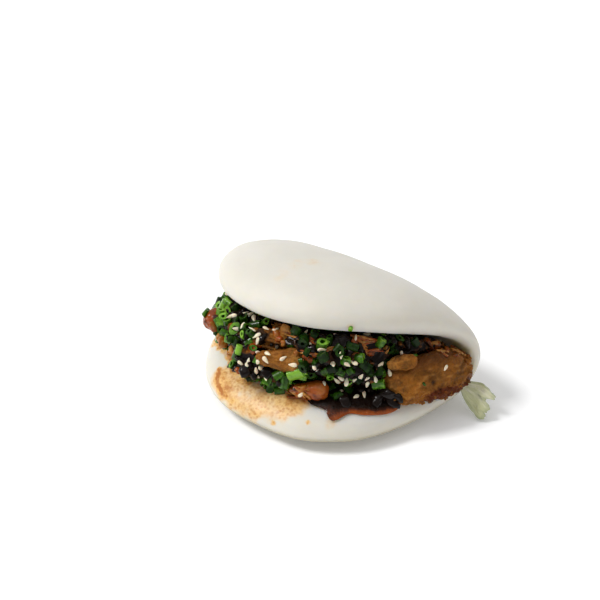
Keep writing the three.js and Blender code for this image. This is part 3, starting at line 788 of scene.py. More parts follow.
def make_leaf():
    bm = bmesh.new()
    bmesh.ops.create_grid(bm, x_segments=90, y_segments=60, size=1)
    leaf = object_from(bm, "lettuce")
    mesh = leaf.data
    plane = points_of(mesh)
    share, s = (plane[:, 0] + 1) / 2, plane[:, 1]
    frill = smooth((share - LEAF_FRILL_START) / (LEAF_FRILL_FULL - LEAF_FRILL_START))
    torn = sum(depth * bell((s - at) / spread) for at, depth, spread in LEAF_TEARS)
    torn = torn + LEAF_FRAY * fine_noise(np.stack((s, 0 * s, 0 * s), axis=1), LEAF_FRAY_SIZE, 3.3)
    t = LEAF_REACH * share * (1 - torn * frill)
    points, along = spline_points(LEAF_RIB, np.clip(t, 0, 1))
    side = lerp(np.array(LEAF_RIB_SIDE), np.array(LEAF_FRILL_SIDE),
                smooth(2 * (share - LEAF_FRILL_START))[:, None])
    side -= along * (side * along).sum(axis=1)[:, None]
    side /= np.linalg.norm(side, axis=1)[:, None]
    face = np.cross(along, side)
    lower_frill = smooth((share - LEAF_LOWER_START) / (1 - LEAF_LOWER_START))
    half = lerp(LEAF_RIB_HALF, LEAF_FRILL_HALF, np.where(s < 0, lower_frill, frill))
    ripple = frill * 0.5 * np.sin(4.5 * s + 3 * share)
    crinkle = 0.3 * frill * fine_noise(np.stack((share * 3, s * 2, 0 * s), axis=1), 0.35, 5.5)
    s = s + 0.08 * frill * fine_noise(np.stack((share * 4, s, 0 * s), axis=1), 0.3, 1.5)
    bulge = LEAF_BULGE * bell((share - LEAF_BULGE_AT) / LEAF_BULGE_SPAN)
    points = points + side * (s * half + bulge)[:, None] + face * (ripple + crinkle)[:, None]
    set_points(mesh, points * MM)
    side_veins = bell(((np.abs(s) * 5 - share * 7) % 1.3 - 0.65) / 0.14)
    set_mask(mesh, "vein", np.clip(bell(s / 0.16) * (1 - 0.6 * share) + 0.3 * side_veins, 0, 1))
    pale_side = smooth((s - 0.1) / 0.5) * (1.6 - share)
    set_mask(mesh, "root", np.clip(1 - smooth((share - 0.3) / 0.5) + pale_side, 0, 1))
    set_mask(mesh, "rim", smooth((np.abs(s) - 0.8) / 0.2) + smooth((share - 0.93) / 0.07))
    solid = leaf.modifiers.new("Thickness", "SOLIDIFY")
    solid.thickness = LEAF_THICKNESS * MM
    solid.offset = 0
    return leaf


# The heap: its core, and the toppings that fall on it.
CORE_VOXEL, CORE_SMOOTHING = 0.52 * MM, 10
STRAND_CELL = 7 * MM  # the strands of the core lie one way within a cell of this size


def make_core():
    core = remeshed("filling_heap", "filling_core", CORE_VOXEL, CORE_SMOOTHING)
    mesh = core.data
    points, normals = points_of(mesh), normals_of(mesh)
    cells = np.array([noise.cell_vector(Vector(p) / STRAND_CELL) for p in points]) - 0.5
    cells /= np.maximum(np.linalg.norm(cells, axis=1), 1e-6)[:, None]
    along = (points * cells).sum(axis=1)[:, None] * cells
    strands = fine_noise((points - 0.85 * along), 1.5 * MM, 8.8)
    lumps = fine_noise(points, 4.5 * MM, 2.9)
    set_points(mesh, points + normals * (MM * (0.45 * strands + 0.6 * lumps - 0.55))[:, None])
    set_mask(mesh, "strand", 0.5 + 0.5 * strands)
    return core


SEEN_FROM = 1.5  # a place is seen when nothing is in the way from this many millimetres off it


class Landing:
    """What toppings fall on: the skins of the pieces below and the toppings placed so far."""

    def __init__(self, names):
        self.skins = {}
        for name in names:
            mesh = bpy.data.objects[name].data
            faces = [p.vertices[:] for p in mesh.polygons]
            self.skins[name] = BVHTree.FromPolygons(points_of(mesh).tolist(), faces)
        self.balls = []

    def hit(self, start, direction, on_balls=True):
        """The first thing on a ray, as its name, the place and the way out of it, or None."""
        best = None
        for name, skin in self.skins.items():
            place, normal, _, far = skin.ray_cast(start, direction)
            if place is not None and (best is None or far < best[3]):
                best = (name, place, normal, far)
        if best is None or not (on_balls and self.balls):
            return best and best[:3]
        radii = np.array([r for _, r in self.balls])
        to = np.array([tuple(c) for c, _ in self.balls]) - np.array(start)
        reach = to @ np.array(direction)
        inside = radii ** 2 - (np.square(to).sum(axis=1) - reach ** 2)
        far = np.where(inside > 0, reach - np.sqrt(np.maximum(inside, 0)), np.inf)
        first = int(np.argmin(far))
        if far[first] >= best[3]:
            return best[:3]
        place = Vector(start) + Vector(direction) * float(far[first])
        return best[0], place, (place - self.balls[first][0]).normalized()

    def seen(self, place):
        """Whether the camera sees that place."""
        camera = bpy.context.scene.camera.location
        start = place + (camera - place).normalized() * SEEN_FROM * MM
        way = (camera - start).normalized()
        return all(skin.ray_cast(start, way)[0] is None for skin in self.skins.values())

    def crowded(self, place, spacing):
        return any((place - centre).length < spacing for centre, _ in self.balls)

    def off_the_dough(self, place, reach):
        """The place moved away from the bun until it is that far off it."""
        near, _, _, far = self.skins["bun_dough"].find_nearest(place)
        if far < reach:
            place = place + (place - near).normalized() * (reach - far)
        return place


def toward(normal, draws, tilt, spin=math.pi):
    """A turn that stands a piece on a face, tilted and spun at random."""
    seat = Vector(normal).to_track_quat("Z", "Y")
    lean = Euler((draws.uniform(-tilt, tilt), draws.uniform(-tilt, tilt), draws.uniform(-spin, spin)))
    return seat @ lean.to_quaternion()


def lying_along(way, normal):
    """A turn that lays a tube's Z axis that way in the camera's axes, with its X out of a face."""
    z = from_view(way).normalized()
    x = (normal - z * normal.dot(z)).normalized()
    return Matrix((x, z.cross(x), z)).transposed().to_quaternion()


def seated(place, turn):
    return Matrix.Translation(place) @ turn.to_matrix().to_4x4()


def shaded_bmesh():
    """An empty mesh whose vertices carry a shade, and whose faces say whether they are cut."""
    bm = bmesh.new()
    bm.faces.layers.float.new("cut")
    return bm, bm.verts.layers.float.new("shade")


def stamp(bm, layer, template, matrix, shade):
    """Adds a copy of a template mesh with its own shade, and returns its vertices."""
    start = len(bm.verts)
    bm.from_mesh(template)
    bm.verts.ensure_lookup_table()
    new = bm.verts[start:]
    bmesh.ops.transform(bm, matrix=matrix, verts=new)
    for vert in new:
        vert[layer] = shade
    return new


CHIVE_SIDES = 12
SEED_SIDES, SEED_RINGS = 8, 6
SEED_TAPER = 0.55
SHRED_SIDES, SHRED_RINGS = 6, 10
PAST_CORNERS = 1000  # more corners than any template has


def corner_key(face):
    """A number that only this face of a template has."""
    first, second, third = sorted(vert.index for vert in face.verts)[:3]
    return (first * PAST_CORNERS + second) * PAST_CORNERS + third


def template_from(bm, name):
    """A mesh with its faces sorted, because some operators list them differently each run."""
    bm.verts.index_update()
    bm.faces.sort(key=corner_key)
    return mesh_from(bm, name)


def chive_template(sizes):
    """A cut ring of chive, its wall spun round the Z axis."""
    outer, inner = sizes.chive_radius, sizes.chive_radius - sizes.chive_wall
    half = sizes.chive_length / 2
    bm = bmesh.new()
    section = ((inner, -half), (outer, -half), (outer, half), (inner, half))
    corners = [bm.verts.new((radius, 0, z)) for radius, z in section]
    edges = [bm.edges.new((corners[i], corners[(i + 1) % 4])) for i in range(4)]
    bmesh.ops.spin(bm, geom=corners + edges, cent=(0, 0, 0), axis=(0, 0, 1), angle=2 * math.pi,
                   steps=CHIVE_SIDES, use_merge=True)
    bmesh.ops.recalc_face_normals(bm, faces=bm.faces)
    cut = bm.faces.layers.float.new("cut")
    for face in bm.faces:
        face.normal_update()
        face[cut] = float(abs(face.normal.z) > 0.5)
    return template_from(bm, "chive_template")


def seed_template(sizes):
    """A sesame seed: a flat drop, pointed at one end."""
    bm = bmesh.new()
    bmesh.ops.create_uvsphere(bm, u_segments=SEED_SIDES, v_segments=SEED_RINGS, radius=0.5)
    for vert in bm.verts:
        point = 1 - SEED_TAPER * smooth(0.5 + vert.co.z)
        vert.co = Vector((vert.co.z * sizes.seed_length, vert.co.x * sizes.seed_width * point,
                          vert.co.y * sizes.seed_thickness * point))
    return template_from(bm, "seed_template")


def shred_template():
    """A straight strand along Z from 0 to 1, with many rings."""
    bm = bmesh.new()
    bmesh.ops.create_circle(bm, segments=SHRED_SIDES, radius=1, cap_ends=True)
    for _ in range(SHRED_RINGS):
        end = max(bm.faces, key=lambda face: face.calc_center_median().z)
        made = bmesh.ops.extrude_discrete_faces(bm, faces=[end])["faces"]
        bmesh.ops.translate(bm, vec=(0, 0, 0.1), verts=made[0].verts)
    bmesh.ops.recalc_face_normals(bm, faces=bm.faces)
    return template_from(bm, "shred_template")


# The places below are in the photo's pixels, and the sizes in millimetres where nothing else is said.
# Where the photo shows sauce or meat and no chives: centre and radius, both in pixels.
BARE = [
    ((221, 345), 13), ((230, 347), 7), ((233, 357), 6), ((268, 340), 7), ((282, 341), 7), ((309, 359), 8),
    ((252, 352), 6), ((350, 351), 7), ((366, 352), 7), ((325, 393), 9), ((345, 396), 9), ((362, 392), 9),
    ((308, 394), 7), ((385, 348), 6), ((232, 317), 5), ((330, 350), 5), ((303, 331), 6), ((350, 399), 13),
    ((335, 402), 9), ((372, 401), 10), ((372, 362), 6), ((366, 343), 6), ((345, 346), 6), ((392, 362), 6),
    ((400, 350), 6), ((347, 390), 6), ((368, 392), 6),
]
# Chives that lie in a clear way: place, the way of the tube in the camera's axes, shade from 0
# (under sauce) to 1 (clean), size and length as shares of a usual ring's.
TUBES = [
    ((357, 358), (1, -0.1, 0.35), 0.42, 0.95, 1.5), ((378, 384), (1, 0.15, 0.3), 0.62, 1.0, 1.4),
    ((296, 373), (1, 0.3, 0.4), 1.0, 1.2, 1.5), ((274, 386), (0.15, 1, 0.2), 0.42, 1.1, 1.9),
    ((284, 381), (0.1, 1, 0.3), 0.5, 1.0, 1.5), ((280, 391), (1, 0.2, 0.2), 0.4, 0.9, 1.3),
    ((300, 361), (1, 0.2, 0.2), 0.55, 0.6, 0.8), ((235, 330), (0, 0.35, 1), 0.75, 1.3, 0.9),
    ((231, 339), (0.3, 1, 0.2), 0.5, 0.7, 1.0), ((249, 343), (1, 0.6, 0.3), 0.6, 0.9, 1.0),
    ((239, 350), (0.25, 1, 0.2), 1.0, 0.65, 1.6), ((322, 345), (0.1, 0.6, 0.7), 0.65, 1.15, 0.9),
    ((323, 355), (0.3, 0.3, 1), 0.2, 1.0, 0.8), ((327, 370), (0.6, 0.3, 0.6), 0.5, 1.0, 1.0),
    ((380, 343), (0.5, 0.8, 0.4), 0.6, 1.0, 1.0), ((341, 372), (1, -0.6, 0.2), 0.5, 0.7, 1.3),
    ((351, 371), (0.7, 0.4, 0.4), 0.5, 0.75, 1.0), ((380, 371), (0.7, 0.4, 0.4), 0.45, 0.7, 1.0),
    ((296, 333), (0.6, 0.2, 0.5), 0.4, 0.85, 1.0), ((315, 334), (1, 0, 0.3), 0.5, 0.7, 1.3),
    ((223, 306), (0.5, 1, 0.3), 0.8, 0.95, 1.5), ((207, 313), (0.6, 0.7, 0.3), 0.65, 0.85, 1.0),
    ((399, 339), (0.1, 0.3, 1), 0.1, 1.0, 1.0), ((291, 384), (1, 0.5, 0.2), 0.5, 0.8, 1.2),
    ((220, 313), (0.2, 1, 0.5), 0.85, 0.8, 1.2), ((332, 387), (1, 0.4, 0.3), 0.3, 0.85, 1.1),
    ((268, 379), (0.5, 1, 0.2), 0.45, 0.9, 1.4), ((279, 375), (1, 0.6, 0.3), 0.4, 0.9, 1.3),
    ((289, 378), (0.4, 1, 0.3), 0.7, 0.8, 1.4), ((303, 375), (0.2, 1, 0.3), 0.75, 0.8, 1.2),
    ((270, 390), (0.3, 1, 0.2), 0.32, 0.9, 1.3),
]
# The other chives that show: shade, size, places.
CHIVES = [
    (0.75, 0.95, [(302, 371), (229, 304), (229, 312), (219, 322), (244, 336)]),
    (0.85, 0.5, [(351, 328)]),
    (0.55, 0.85, [(226, 319), (225, 333), (266, 385), (308, 380), (228, 322), (265, 322), (331, 374),
                  (345, 361), (286, 387), (292, 346), (253, 348), (297, 383)]),
    (0.14, 0.9, [(252, 333), (296, 331), (315, 334), (323, 357), (339, 349), (339, 371), (337, 396),
                 (234, 364), (340, 352), (352, 347), (379, 371), (332, 368), (391, 346), (415, 342),
                 (335, 383), (236, 309), (244, 319), (256, 326), (308, 352), (314, 362), (307, 366),
                 (318, 378), (366, 366), (312, 375), (238, 322), (246, 330), (330, 340), (386, 362),
                 (303, 341), (370, 372), (392, 350), (237, 341)]),
    (0.45, 0.4, [(424, 384)]),
]
SEEDS = [
    (229, 318), (233, 316), (245, 314), (250, 315), (254, 319), (266, 329), (276, 330), (252, 330),
    (257, 336), (258, 341), (243, 326), (236, 329), (268, 354), (283, 358), (266, 360), (258, 362),
    (249, 361), (241, 363), (261, 367), (256, 370), (277, 346), (293, 365), (257, 375), (247, 365),
    (266, 378), (341, 355), (301, 394), (337, 336), (314, 366), (355, 337), (366, 335), (386, 336),
    (347, 364), (354, 362), (381, 365), (361, 376), (367, 378), (367, 384), (375, 379), (355, 380),
    (347, 382), (341, 378), (337, 380), (364, 395), (356, 397), (342, 393), (390, 373), (401, 354),
    (445, 368), (333, 365), (322, 349), (306, 333), (324, 384), (310, 344),
]
# Dark lumps in sauce: place, radius.
LUMPS = [
    ((245, 368), 3.0), ((251, 373), 2.6), ((241, 362), 2.2), ((268, 370), 3.0), ((262, 374), 2.0),
    ((384, 395), 3.6), ((377, 400), 3.0), ((391, 401), 2.8), ((398, 397), 2.0), ((359, 386), 3.0),
    ((344, 342), 3.2), ((393, 338), 3.0), ((350, 352), 2.6), ((336, 341), 2.8), ((370, 389), 2.6),
    ((233, 316), 2.2), ((245, 309), 2.0), ((248, 336), 2.4), ((362, 352), 2.4), ((311, 348), 2.4),
    ((222, 298), 1.8), ((408, 346), 3.0), ((345, 400), 2.6), ((318, 366), 2.4), ((262, 340), 2.2),
]
# Bits of duck, with their tone from 0 (dark) to 1 (pale) where it is plain to see.
BITS = [
    ((217, 333), 2.0, 0.6), ((223, 341), 2.3, 0.65), ((228, 346), 2.3, 0.55), ((219, 338), 1.6, 0.75),
    ((232, 350), 1.8, 0.75), ((226, 337), 1.6, 0.5), ((222, 350), 1.4, 0.7), ((233, 357), 2.0, 0.6),
    ((226, 345), 2.6, 1.0), ((231, 349), 2.2, 1.0), ((230, 357), 2.3, 0.8), ((235, 363), 2.1, 0.65),
    ((238, 371), 1.6, 0.5), ((214, 327), 1.6, 0.5), ((225, 350), 2.0, 0.85), ((241, 377), 1.4, 0.4),
    ((251, 349), 2.2, 0.2), ((257, 345), 1.8, 0.3), ((277, 333), 2.2, 0.5), ((285, 331), 2.2, 0.95),
    ((280, 339), 1.7, 0.4), ((281, 325), 1.8, 0.8), ((290, 393), 1.6), ((298, 395), 1.5), ((283, 396), 1.2),
    ((302, 389), 1.6, 0.6), ((306, 398), 1.5), ((299, 353), 1.8), ((306, 357), 1.5), ((345, 347), 1.5),
    ((366, 340), 1.5), ((447, 349), 1.6), ((438, 346), 1.7), ((455, 354), 1.4), ((430, 350), 1.4),
    ((312, 339), 1.4), ((258, 352), 1.4), ((309, 360), 1.7), ((304, 362), 1.3), ((314, 356), 1.4),
    ((366, 352), 1.5), ((283, 343), 1.6), ((386, 349), 1.3, 0.9), ((356, 343), 1.8, 0.3),
    ((362, 347), 1.7, 0.4), ((371, 354), 1.6, 0.2),
]
# Bundles of shredded duck: both ends, and the tone where it is plain to see.
SHREDS = [
    ((286, 333), (316, 344)), ((272, 324), (288, 330), 0.9), ((280, 326), (296, 336), 1.0),
    ((295, 337), (311, 342), 0.95), ((356, 338), (374, 341)), ((352, 335), (366, 346), 0.5),
    ((360, 343), (380, 339)), ((425, 337), (431, 346)), ((432, 348), (448, 356)), ((434, 343), (446, 352)),
    ((428, 351), (440, 349)), ((437, 351), (449, 352)), ((286, 389), (304, 396)), ((292, 386), (308, 392)),
    ((288, 397), (310, 400)), ((300, 350), (318, 354)), ((322, 352), (334, 348)), ((366, 352), (382, 350)),
    ((440, 343), (456, 350), 0.7), ((446, 347), (464, 355), 0.8), ((450, 344), (466, 351), 0.5),
    ((259, 345), (275, 349), 0.9), ((297, 388), (309, 398), 0.9), ((430, 344), (445, 343), 0.8),
]

# How far the toppings vary: a chive's size, lift off the skin and length as shares of the usual ones,
# its flatness, shade and wobble, a seed's size, and how far each kind tilts.
CHIVE_SIZES, CHIVE_LIFTS, CHIVE_LENGTHS = (0.85, 1.15), (0.1, 0.8), (0.7, 1.5)
CHIVE_FLATNESS, CHIVE_SHADES, CHIVE_WOBBLE = (0.5, 0.95), (-0.15, 0.15), 0.4
SEED_SIZES = (0.85, 1.12)
CHIVE_TILT, SEED_TILT, LUMP_TILT = math.radians(80), math.radians(18), math.radians(25)
# A chive is darker towards its seat: partly from sauce pooled there, partly painted shade where it sits in
# the heap.
CHIVE_FADE = 0.16  # how much a chive's shade changes from its seat to its top
LEFT_FROM, LEFT_SPAN, LEFT_CLEAN = 275, 30, 0.35  # left of this pixel the chives are cleaner
CHIVE_OFF, SEED_OFF, SHRED_OFF = 1.9 * MM, 1.3 * MM, 0.8 * MM  # how far off the dough they stay
CHIVE_SPACING, LEFT_SPACING, HIDDEN_SPACING = 5.2, 4.2, 3.3
SPARE_CHIVE_SIZE = 0.9
LUMP_SIDES = ((0.9, 1.4), (0.7, 1.0), (0.5, 0.8))
LUMP_BUMP = 0.38
SHRED_STRANDS, SHRED_STEPS, SHRED_LEAST = 3, 9, 6
SHRED_WIDTH, SHRED_DEPTH = (0.35, 0.65), (0.28, 0.4)
SHRED_LIFT, SHRED_SPREAD = 0.35, 2
SPARE_CHIVES, SPARE_SEEDS = 5000, 130  # rays for those that can't be told apart in the photo
SPARE_AROUND = (math.radians(-195), math.radians(15))
SPARE_LIFT = (0, math.radians(45))
SPARE_FROM = 120 * MM


def is_bare(place):
    x, y = photo_pixel(place)
    return any(math.hypot(x - cx, y - cy) < radius for (cx, cy), radius in BARE)


def spare_ray(draws, low, high):
    """A ray that comes in through the mouth from any side, to a place in the filling."""
    around, lift = draws.uniform(*SPARE_AROUND), draws.uniform(*SPARE_LIFT)
    inner = Vector((draws.uniform(low[i], high[i]) for i in range(3)))
    out = Vector((math.cos(lift) * math.cos(around), math.cos(lift) * math.sin(around), math.sin(lift)))
    return inner + out * SPARE_FROM, -out


def drop_chive(bm, layer, template, landing, draws, found, shade, size, sizes, way=None, length=1):
    name, place, normal = found
    size *= draws.uniform(*CHIVE_SIZES) if way is None else 1
    lift = draws.uniform(*CHIVE_LIFTS) * size * MM
    place = landing.off_the_dough(place + normal * lift, CHIVE_OFF) if name != "bun_dough" else place
    length *= draws.uniform(*CHIVE_LENGTHS) if way is None else 1
    squash = Matrix.Diagonal((size * draws.uniform(*CHIVE_FLATNESS), size, size * length, 1))
    turn = toward(normal, draws, CHIVE_TILT) if way is None else lying_along(way, normal)
    shade += draws.uniform(*CHIVE_SHADES)
    for vert in stamp(bm, layer, template, seated(place, turn) @ squash, shade):
        # Darker towards the seat: sauce pooled there, and painted shade.
        vert[layer] += CHIVE_FADE * (vert.co - place).dot(normal) / (size * sizes.chive_radius)
        vert.co += noise.noise_vector(vert.co / (2 * MM)) * CHIVE_WOBBLE * size * MM
    landing.balls.append((place, size * sizes.chive_radius * 0.85))


def make_chives(sizes, landing):
    draws = random.Random(11)
    noise.seed_set(11)  # without it noise_vector takes its start from the clock
    bm, layer = shaded_bmesh()
    common = (bm, layer, chive_template(sizes), landing, draws)
    for spot, way, shade, size, length in TUBES:
        found = landing.hit(*photo_ray(*spot), on_balls=False)
        if found:
            drop_chive(*common, found, shade, size, sizes, way, length)
    for shade, size, spots in reversed(CHIVES):
        for spot in spots:
            found = landing.hit(*photo_ray(*spot))
            if found:
                drop_chive(*common, found, shade, size, sizes)
    low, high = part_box("filling_heap")
    for _ in range(SPARE_CHIVES):
        found = landing.hit(*spare_ray(draws, low, high), on_balls=False)
        if not found or found[0] != "filling_core":
            continue
        seen = landing.seen(found[1])
        if seen and is_bare(found[1]):
            continue
        clean = smooth((LEFT_FROM - photo_pixel(found[1])[0]) / LEFT_SPAN)
        spacing = lerp(CHIVE_SPACING, LEFT_SPACING, clean) if seen else HIDDEN_SPACING
        if not landing.crowded(found[1], spacing * MM):
            shades = (-0.1, 0.14 + LEFT_CLEAN * clean) if seen else (0.1, 0.85)
            drop_chive(*common, found, draws.uniform(*shades), SPARE_CHIVE_SIZE, sizes)
    made = object_from(bm, "chives")
    made.data.set_sharp_from_angle(angle=math.radians(40))
    return made


def make_seeds(sizes, landing):
    draws = random.Random(23)
    template = seed_template(sizes)
    bm, layer = shaded_bmesh()
    low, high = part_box("filling_heap")
    rays = [photo_ray(*spot) for spot in SEEDS]
    rays += [spare_ray(draws, low, high) for _ in range(SPARE_SEEDS)]
    for i, ray in enumerate(rays):
        found = landing.hit(*ray)
        if not found or (i >= len(SEEDS) and (found[0] == "bun_dough" or landing.seen(found[1]))):
            continue
        name, place, normal = found
        if name != "bun_dough":
            place = landing.off_the_dough(place + normal * 0.35 * MM, SEED_OFF)
        size = draws.uniform(*SEED_SIZES)
        matrix = seated(place, toward(normal, draws, SEED_TILT)) @ Matrix.Scale(size, 4)
        stamp(bm, layer, template, matrix, draws.uniform(0, 1))
    return object_from(bm, "sesame_seeds")


def lump_bump(place):
    return noise.noise(place / (2.0 * MM)) + 0.5 * noise.noise(place / (0.9 * MM))


def make_lumps(landing, name, spots, seed):
    draws = random.Random(seed)
    bm, layer = shaded_bmesh()
    for spot, radius, *tone in spots:
        found = landing.hit(*photo_ray(*spot))
        if found:
            _, place, normal = found
            place = landing.off_the_dough(place - normal * 0.3 * radius * MM, 0.8 * radius * MM)
            sides = [radius * MM * draws.uniform(low, high) for low, high in LUMP_SIDES]
            seat = seated(place, toward(normal, draws, LUMP_TILT))
            tone = tone[0] if tone else draws.uniform(0, 1)
            add_blob(bm, seat @ Matrix.Diagonal(sides).to_4x4(), layer, tone, LUMP_BUMP, lump_bump)
            landing.balls.append((place, 0.6 * radius * MM))
    return object_from(bm, name)


def draped_line(landing, start, end):
    """Points on top of what lies under a line between two pixels of the photo."""
    line = []
    for i in range(SHRED_STEPS + 1):
        pixel = [lerp(a, b, i / SHRED_STEPS) for a, b in zip(start, end)]
        found = landing.hit(*photo_ray(*pixel), on_balls=False)
        if found:
            line.append(landing.off_the_dough(found[1] + found[2] * SHRED_LIFT * MM, SHRED_OFF))
    return line


def make_shreds(landing):
    draws = random.Random(31)
    template = shred_template()
    bm, layer = shaded_bmesh()
    for start, end, *tone in SHREDS:
        for _ in range(SHRED_STRANDS):
            shift = [draws.uniform(-SHRED_SPREAD, SHRED_SPREAD) for _ in range(4)]
            line = draped_line(landing, (start[0] + shift[0], start[1] + shift[1]),
                               (end[0] + shift[2], end[1] + shift[3]))
            if len(line) < SHRED_LEAST:
                continue
            line = np.array([tuple(p) for p in line])
            for _ in range(3):
                line[1:-1] = (line[:-2] + 2 * line[1:-1] + line[2:]) / 4
            landing.balls += [(Vector(p), 0.5 * MM) for p in line[::2]]
            shade = tone[0] if tone else draws.uniform(0, 1)
            verts = stamp(bm, layer, template, Matrix.Identity(4), shade)
            centre, tangent = spline_points(line, np.array([v.co.z for v in verts]))
            width, depth = draws.uniform(*SHRED_WIDTH) * MM, draws.uniform(*SHRED_DEPTH) * MM
            for vert, middle, way in zip(verts, centre, tangent):
                way = Vector(way)
                side = way.cross(Vector((0.3, -0.5, 0.8))).normalized()
                up = side.cross(way)
                taper = 0.35 + 0.65 * math.sin(math.pi * min(max(vert.co.z, 0.06), 0.94)) ** 0.6
                vert.co = Vector(middle) + (side * vert.co.x * width + up * vert.co.y * depth) * taper
    bmesh.ops.recalc_face_normals(bm, faces=bm.faces)
    return object_from(bm, "duck_shreds")


# Materials. A mottle takes its blotches per metre and the two limits of its noise, a grain its bumps
# per metre and their height in metres, and the speckle its dots per metre and their reach.
DOUGH_DULL = (0.675, 0.65, 0.583, 1)
LEAF_DULL, LEAF_ROOT, LEAF_EDGE = (0.46, 0.47, 0.29, 1), (0.76, 0.73, 0.59, 1), (0.27, 0.31, 0.18, 1)
SEED_TOASTED, SEED_PALE = (0.72, 0.52, 0.28, 1), (0.92, 0.86, 0.70, 1)
LUMP_DULL = (0.010, 0.006, 0.005, 1)
FLOOR_DULL = (0.925, 0.925, 0.93, 1)


def dough_material(colors):
    paint = Paint("steamed_dough")
    stain = paint.mask("stain")
    uneven = stain + (paint.mottle(220, 0.25, 0.75) - 0.5) * 0.5
    color = layered(
        colors.dough,
        (paint.mottle(60, 0.3, 0.7), DOUGH_DULL),
        # Painted shade on the dough's low, downward faces.
        (paint.mask("under"), colors.under),
        (paint.mask("oil") * 0.8, colors.oil),
        (shares(uneven, 0.05, 0.85) * maths("MINIMUM", stain, 1) * 0.95, colors.stain),
        (shares(uneven, 0.3, 1) * paint.mottle(900, 0.42, 0.62) * 0.36, colors.speck),
        (shares(uneven, 0.45, 1) * paint.effect("Speckle", 700, 0.5) * 0.5, colors.speck),
        (shares(uneven, 0.95, 1.5) * 0.85, colors.wet),
    )
    return paint.finish(color, paint.grain(900, 0.00012) + paint.grain(3500, 0.00004),
                        Roughness=shares(uneven, 0.3, 1.3, 0.5, 0.2), Specular_IOR_Level=0.3,
                        Subsurface_Weight=0.7, Subsurface_Scale=0.01, Subsurface_Radius=(1, 0.8, 0.5))


def duck_material(name, colors, glaze):
    paint = Paint(name)
    blotch, fine, pale = paint.mottle(170, 0.35, 0.65), paint.mottle(1200, 0.45, 0.7), paint.mask("pale")
    color = layered(
        colors.duck,
        (blotch * 0.55, colors.olive_duck),
        (shares(paint.mask("grain"), 0.35, 0.75) * 0.5, colors.pale_duck),
        (pale * 0.75, colors.pale_duck),
        (fine * 0.45, colors.dark_duck),
        (paint.mottle(1500, 0.55, 0.75) * 0.45, colors.pale_duck),
        (shares(paint.mask("crisp") + fine * 0.4, 0.45, 1.1), colors.crisp),
        ((blotch * 0.4 - pale * 0.2 + 0.65) * glaze, colors.glaze),
        # Painted shade on the upper side of the duck.
        (paint.mask("painted_shade") * 0.85, colors.dark_duck),
        (shares(paint.mask("sauced") + blotch - 0.5, 0.1, 1.1, 0, 0.9), colors.sauce),
    )
    relief = paint.grain(1300, 0.00045 - 0.00035 * glaze) + paint.grain(4200, 0.00008 - 0.00006 * glaze)
    return paint.finish(color, relief, Roughness=shares(fine, 0, 1, 0.42 - 0.2 * glaze, 0.28 - 0.1 * glaze),
                        Specular_IOR_Level=0.12, Coat_Weight=0.6 * glaze, Coat_Roughness=0.08,
                        Subsurface_Weight=0.1 + 0.15 * glaze, Subsurface_Scale=0.002)


def sauce_material(colors):
    paint = Paint("dark_sauce")
    thin = paint.mask("thin")
    color = ramp(shares(thin + paint.mottle(350, 0.3, 0.7) * 0.15, 0.25, 1.15), [
        (0, colors.sauce), (0.4, (0.011, 0.004, 0.0015)), (0.7, (0.055, 0.011, 0.002)),
        (1, colors.thin_sauce),
    ])
    return paint.finish(color, paint.grain(400, 0.0018) * shares(thin, 0, 0.5, 0.25, 1),
                        Roughness=0.12, Specular_IOR_Level=0.1, Coat_Roughness=0.08,
                        Coat_Weight=shares(paint.mask("rim"), 0.6, 1, 0, 0.35))


def leaf_material(colors):
    paint = Paint("lettuce")
    color = layered(
        colors.lettuce,
        (paint.mottle(500, 0.3, 0.7), LEAF_DULL),
        (shares(paint.mask("root") + paint.mask("vein"), 0.1, 1.1) * 0.85, LEAF_ROOT),
        (paint.mask("rim") * 0.6, LEAF_EDGE),
    )
    return paint.finish(color, paint.grain(1500, 0.0002), Roughness=0.38, Coat_Weight=0.2,
                        Coat_Roughness=0.2, Subsurface_Weight=0.4, Subsurface_Scale=0.002,
                        Subsurface_Radius=(1, 1, 0.6))


def core_material(colors):
    paint = Paint("sauced_filling")
    fine = paint.mottle(900, 0.4, 0.7)
    shown = paint.mottle(160, 0.45, 0.65) * shares(paint.mask("strand"), 0.45, 0.75)
    meat = layered(colors.dark_duck, (fine, colors.duck))
    return paint.finish(layered(colors.sauce, (shown, meat)), paint.grain(700, 0.0003),
                        Roughness=shares(fine, 0, 1, 0.15, 0.35), Specular_IOR_Level=0.04,
                        Coat_Weight=0.2, Coat_Roughness=0.08)


def chive_material(colors):
    paint = Paint("chive")
    shade = paint.mask("shade")
    tone = shade + paint.mask("cut") * shade * 0.3 + (paint.mottle(700, 0.3, 0.7) - 0.6) * 0.35
    color = ramp(tone, [
        (0, colors.chive_dark), (0.35, (0.013, 0.044, 0.002)), (0.7, (0.048, 0.145, 0.007)),
        (1, colors.chive_bright),
    ])
    return paint.finish(color, paint.grain(2500, 0.00008), Roughness=0.25, Specular_IOR_Level=0.08,
                        Coat_Weight=shares(shade, 0.1, 0.9, 0.1, 0.5), Coat_Roughness=0.12,
                        Subsurface_Weight=0.1, Subsurface_Scale=0.001)


def seed_material(colors):
    paint = Paint("sesame_seed")
    color = layered(
        colors.seed,
        (paint.mask("shade") * 0.5, SEED_TOASTED),
        (paint.mottle(900, 0.3, 0.7) * 0.3, SEED_PALE),
    )
    return paint.finish(color, paint.grain(3000, 0.00006), Roughness=0.38, Coat_Weight=0.2,
                        Coat_Roughness=0.2, Subsurface_Weight=0.2, Subsurface_Scale=0.001)


def lump_material(colors):
    paint = Paint("sauced_lump")
    color = layered(colors.sauce, (paint.mottle(400, 0.5, 0.8), LUMP_DULL))
    return paint.finish(color, paint.grain(600, 0.0004), Roughness=0.25, Specular_IOR_Level=0.04,
                        Coat_Weight=0.3, Coat_Roughness=0.06)


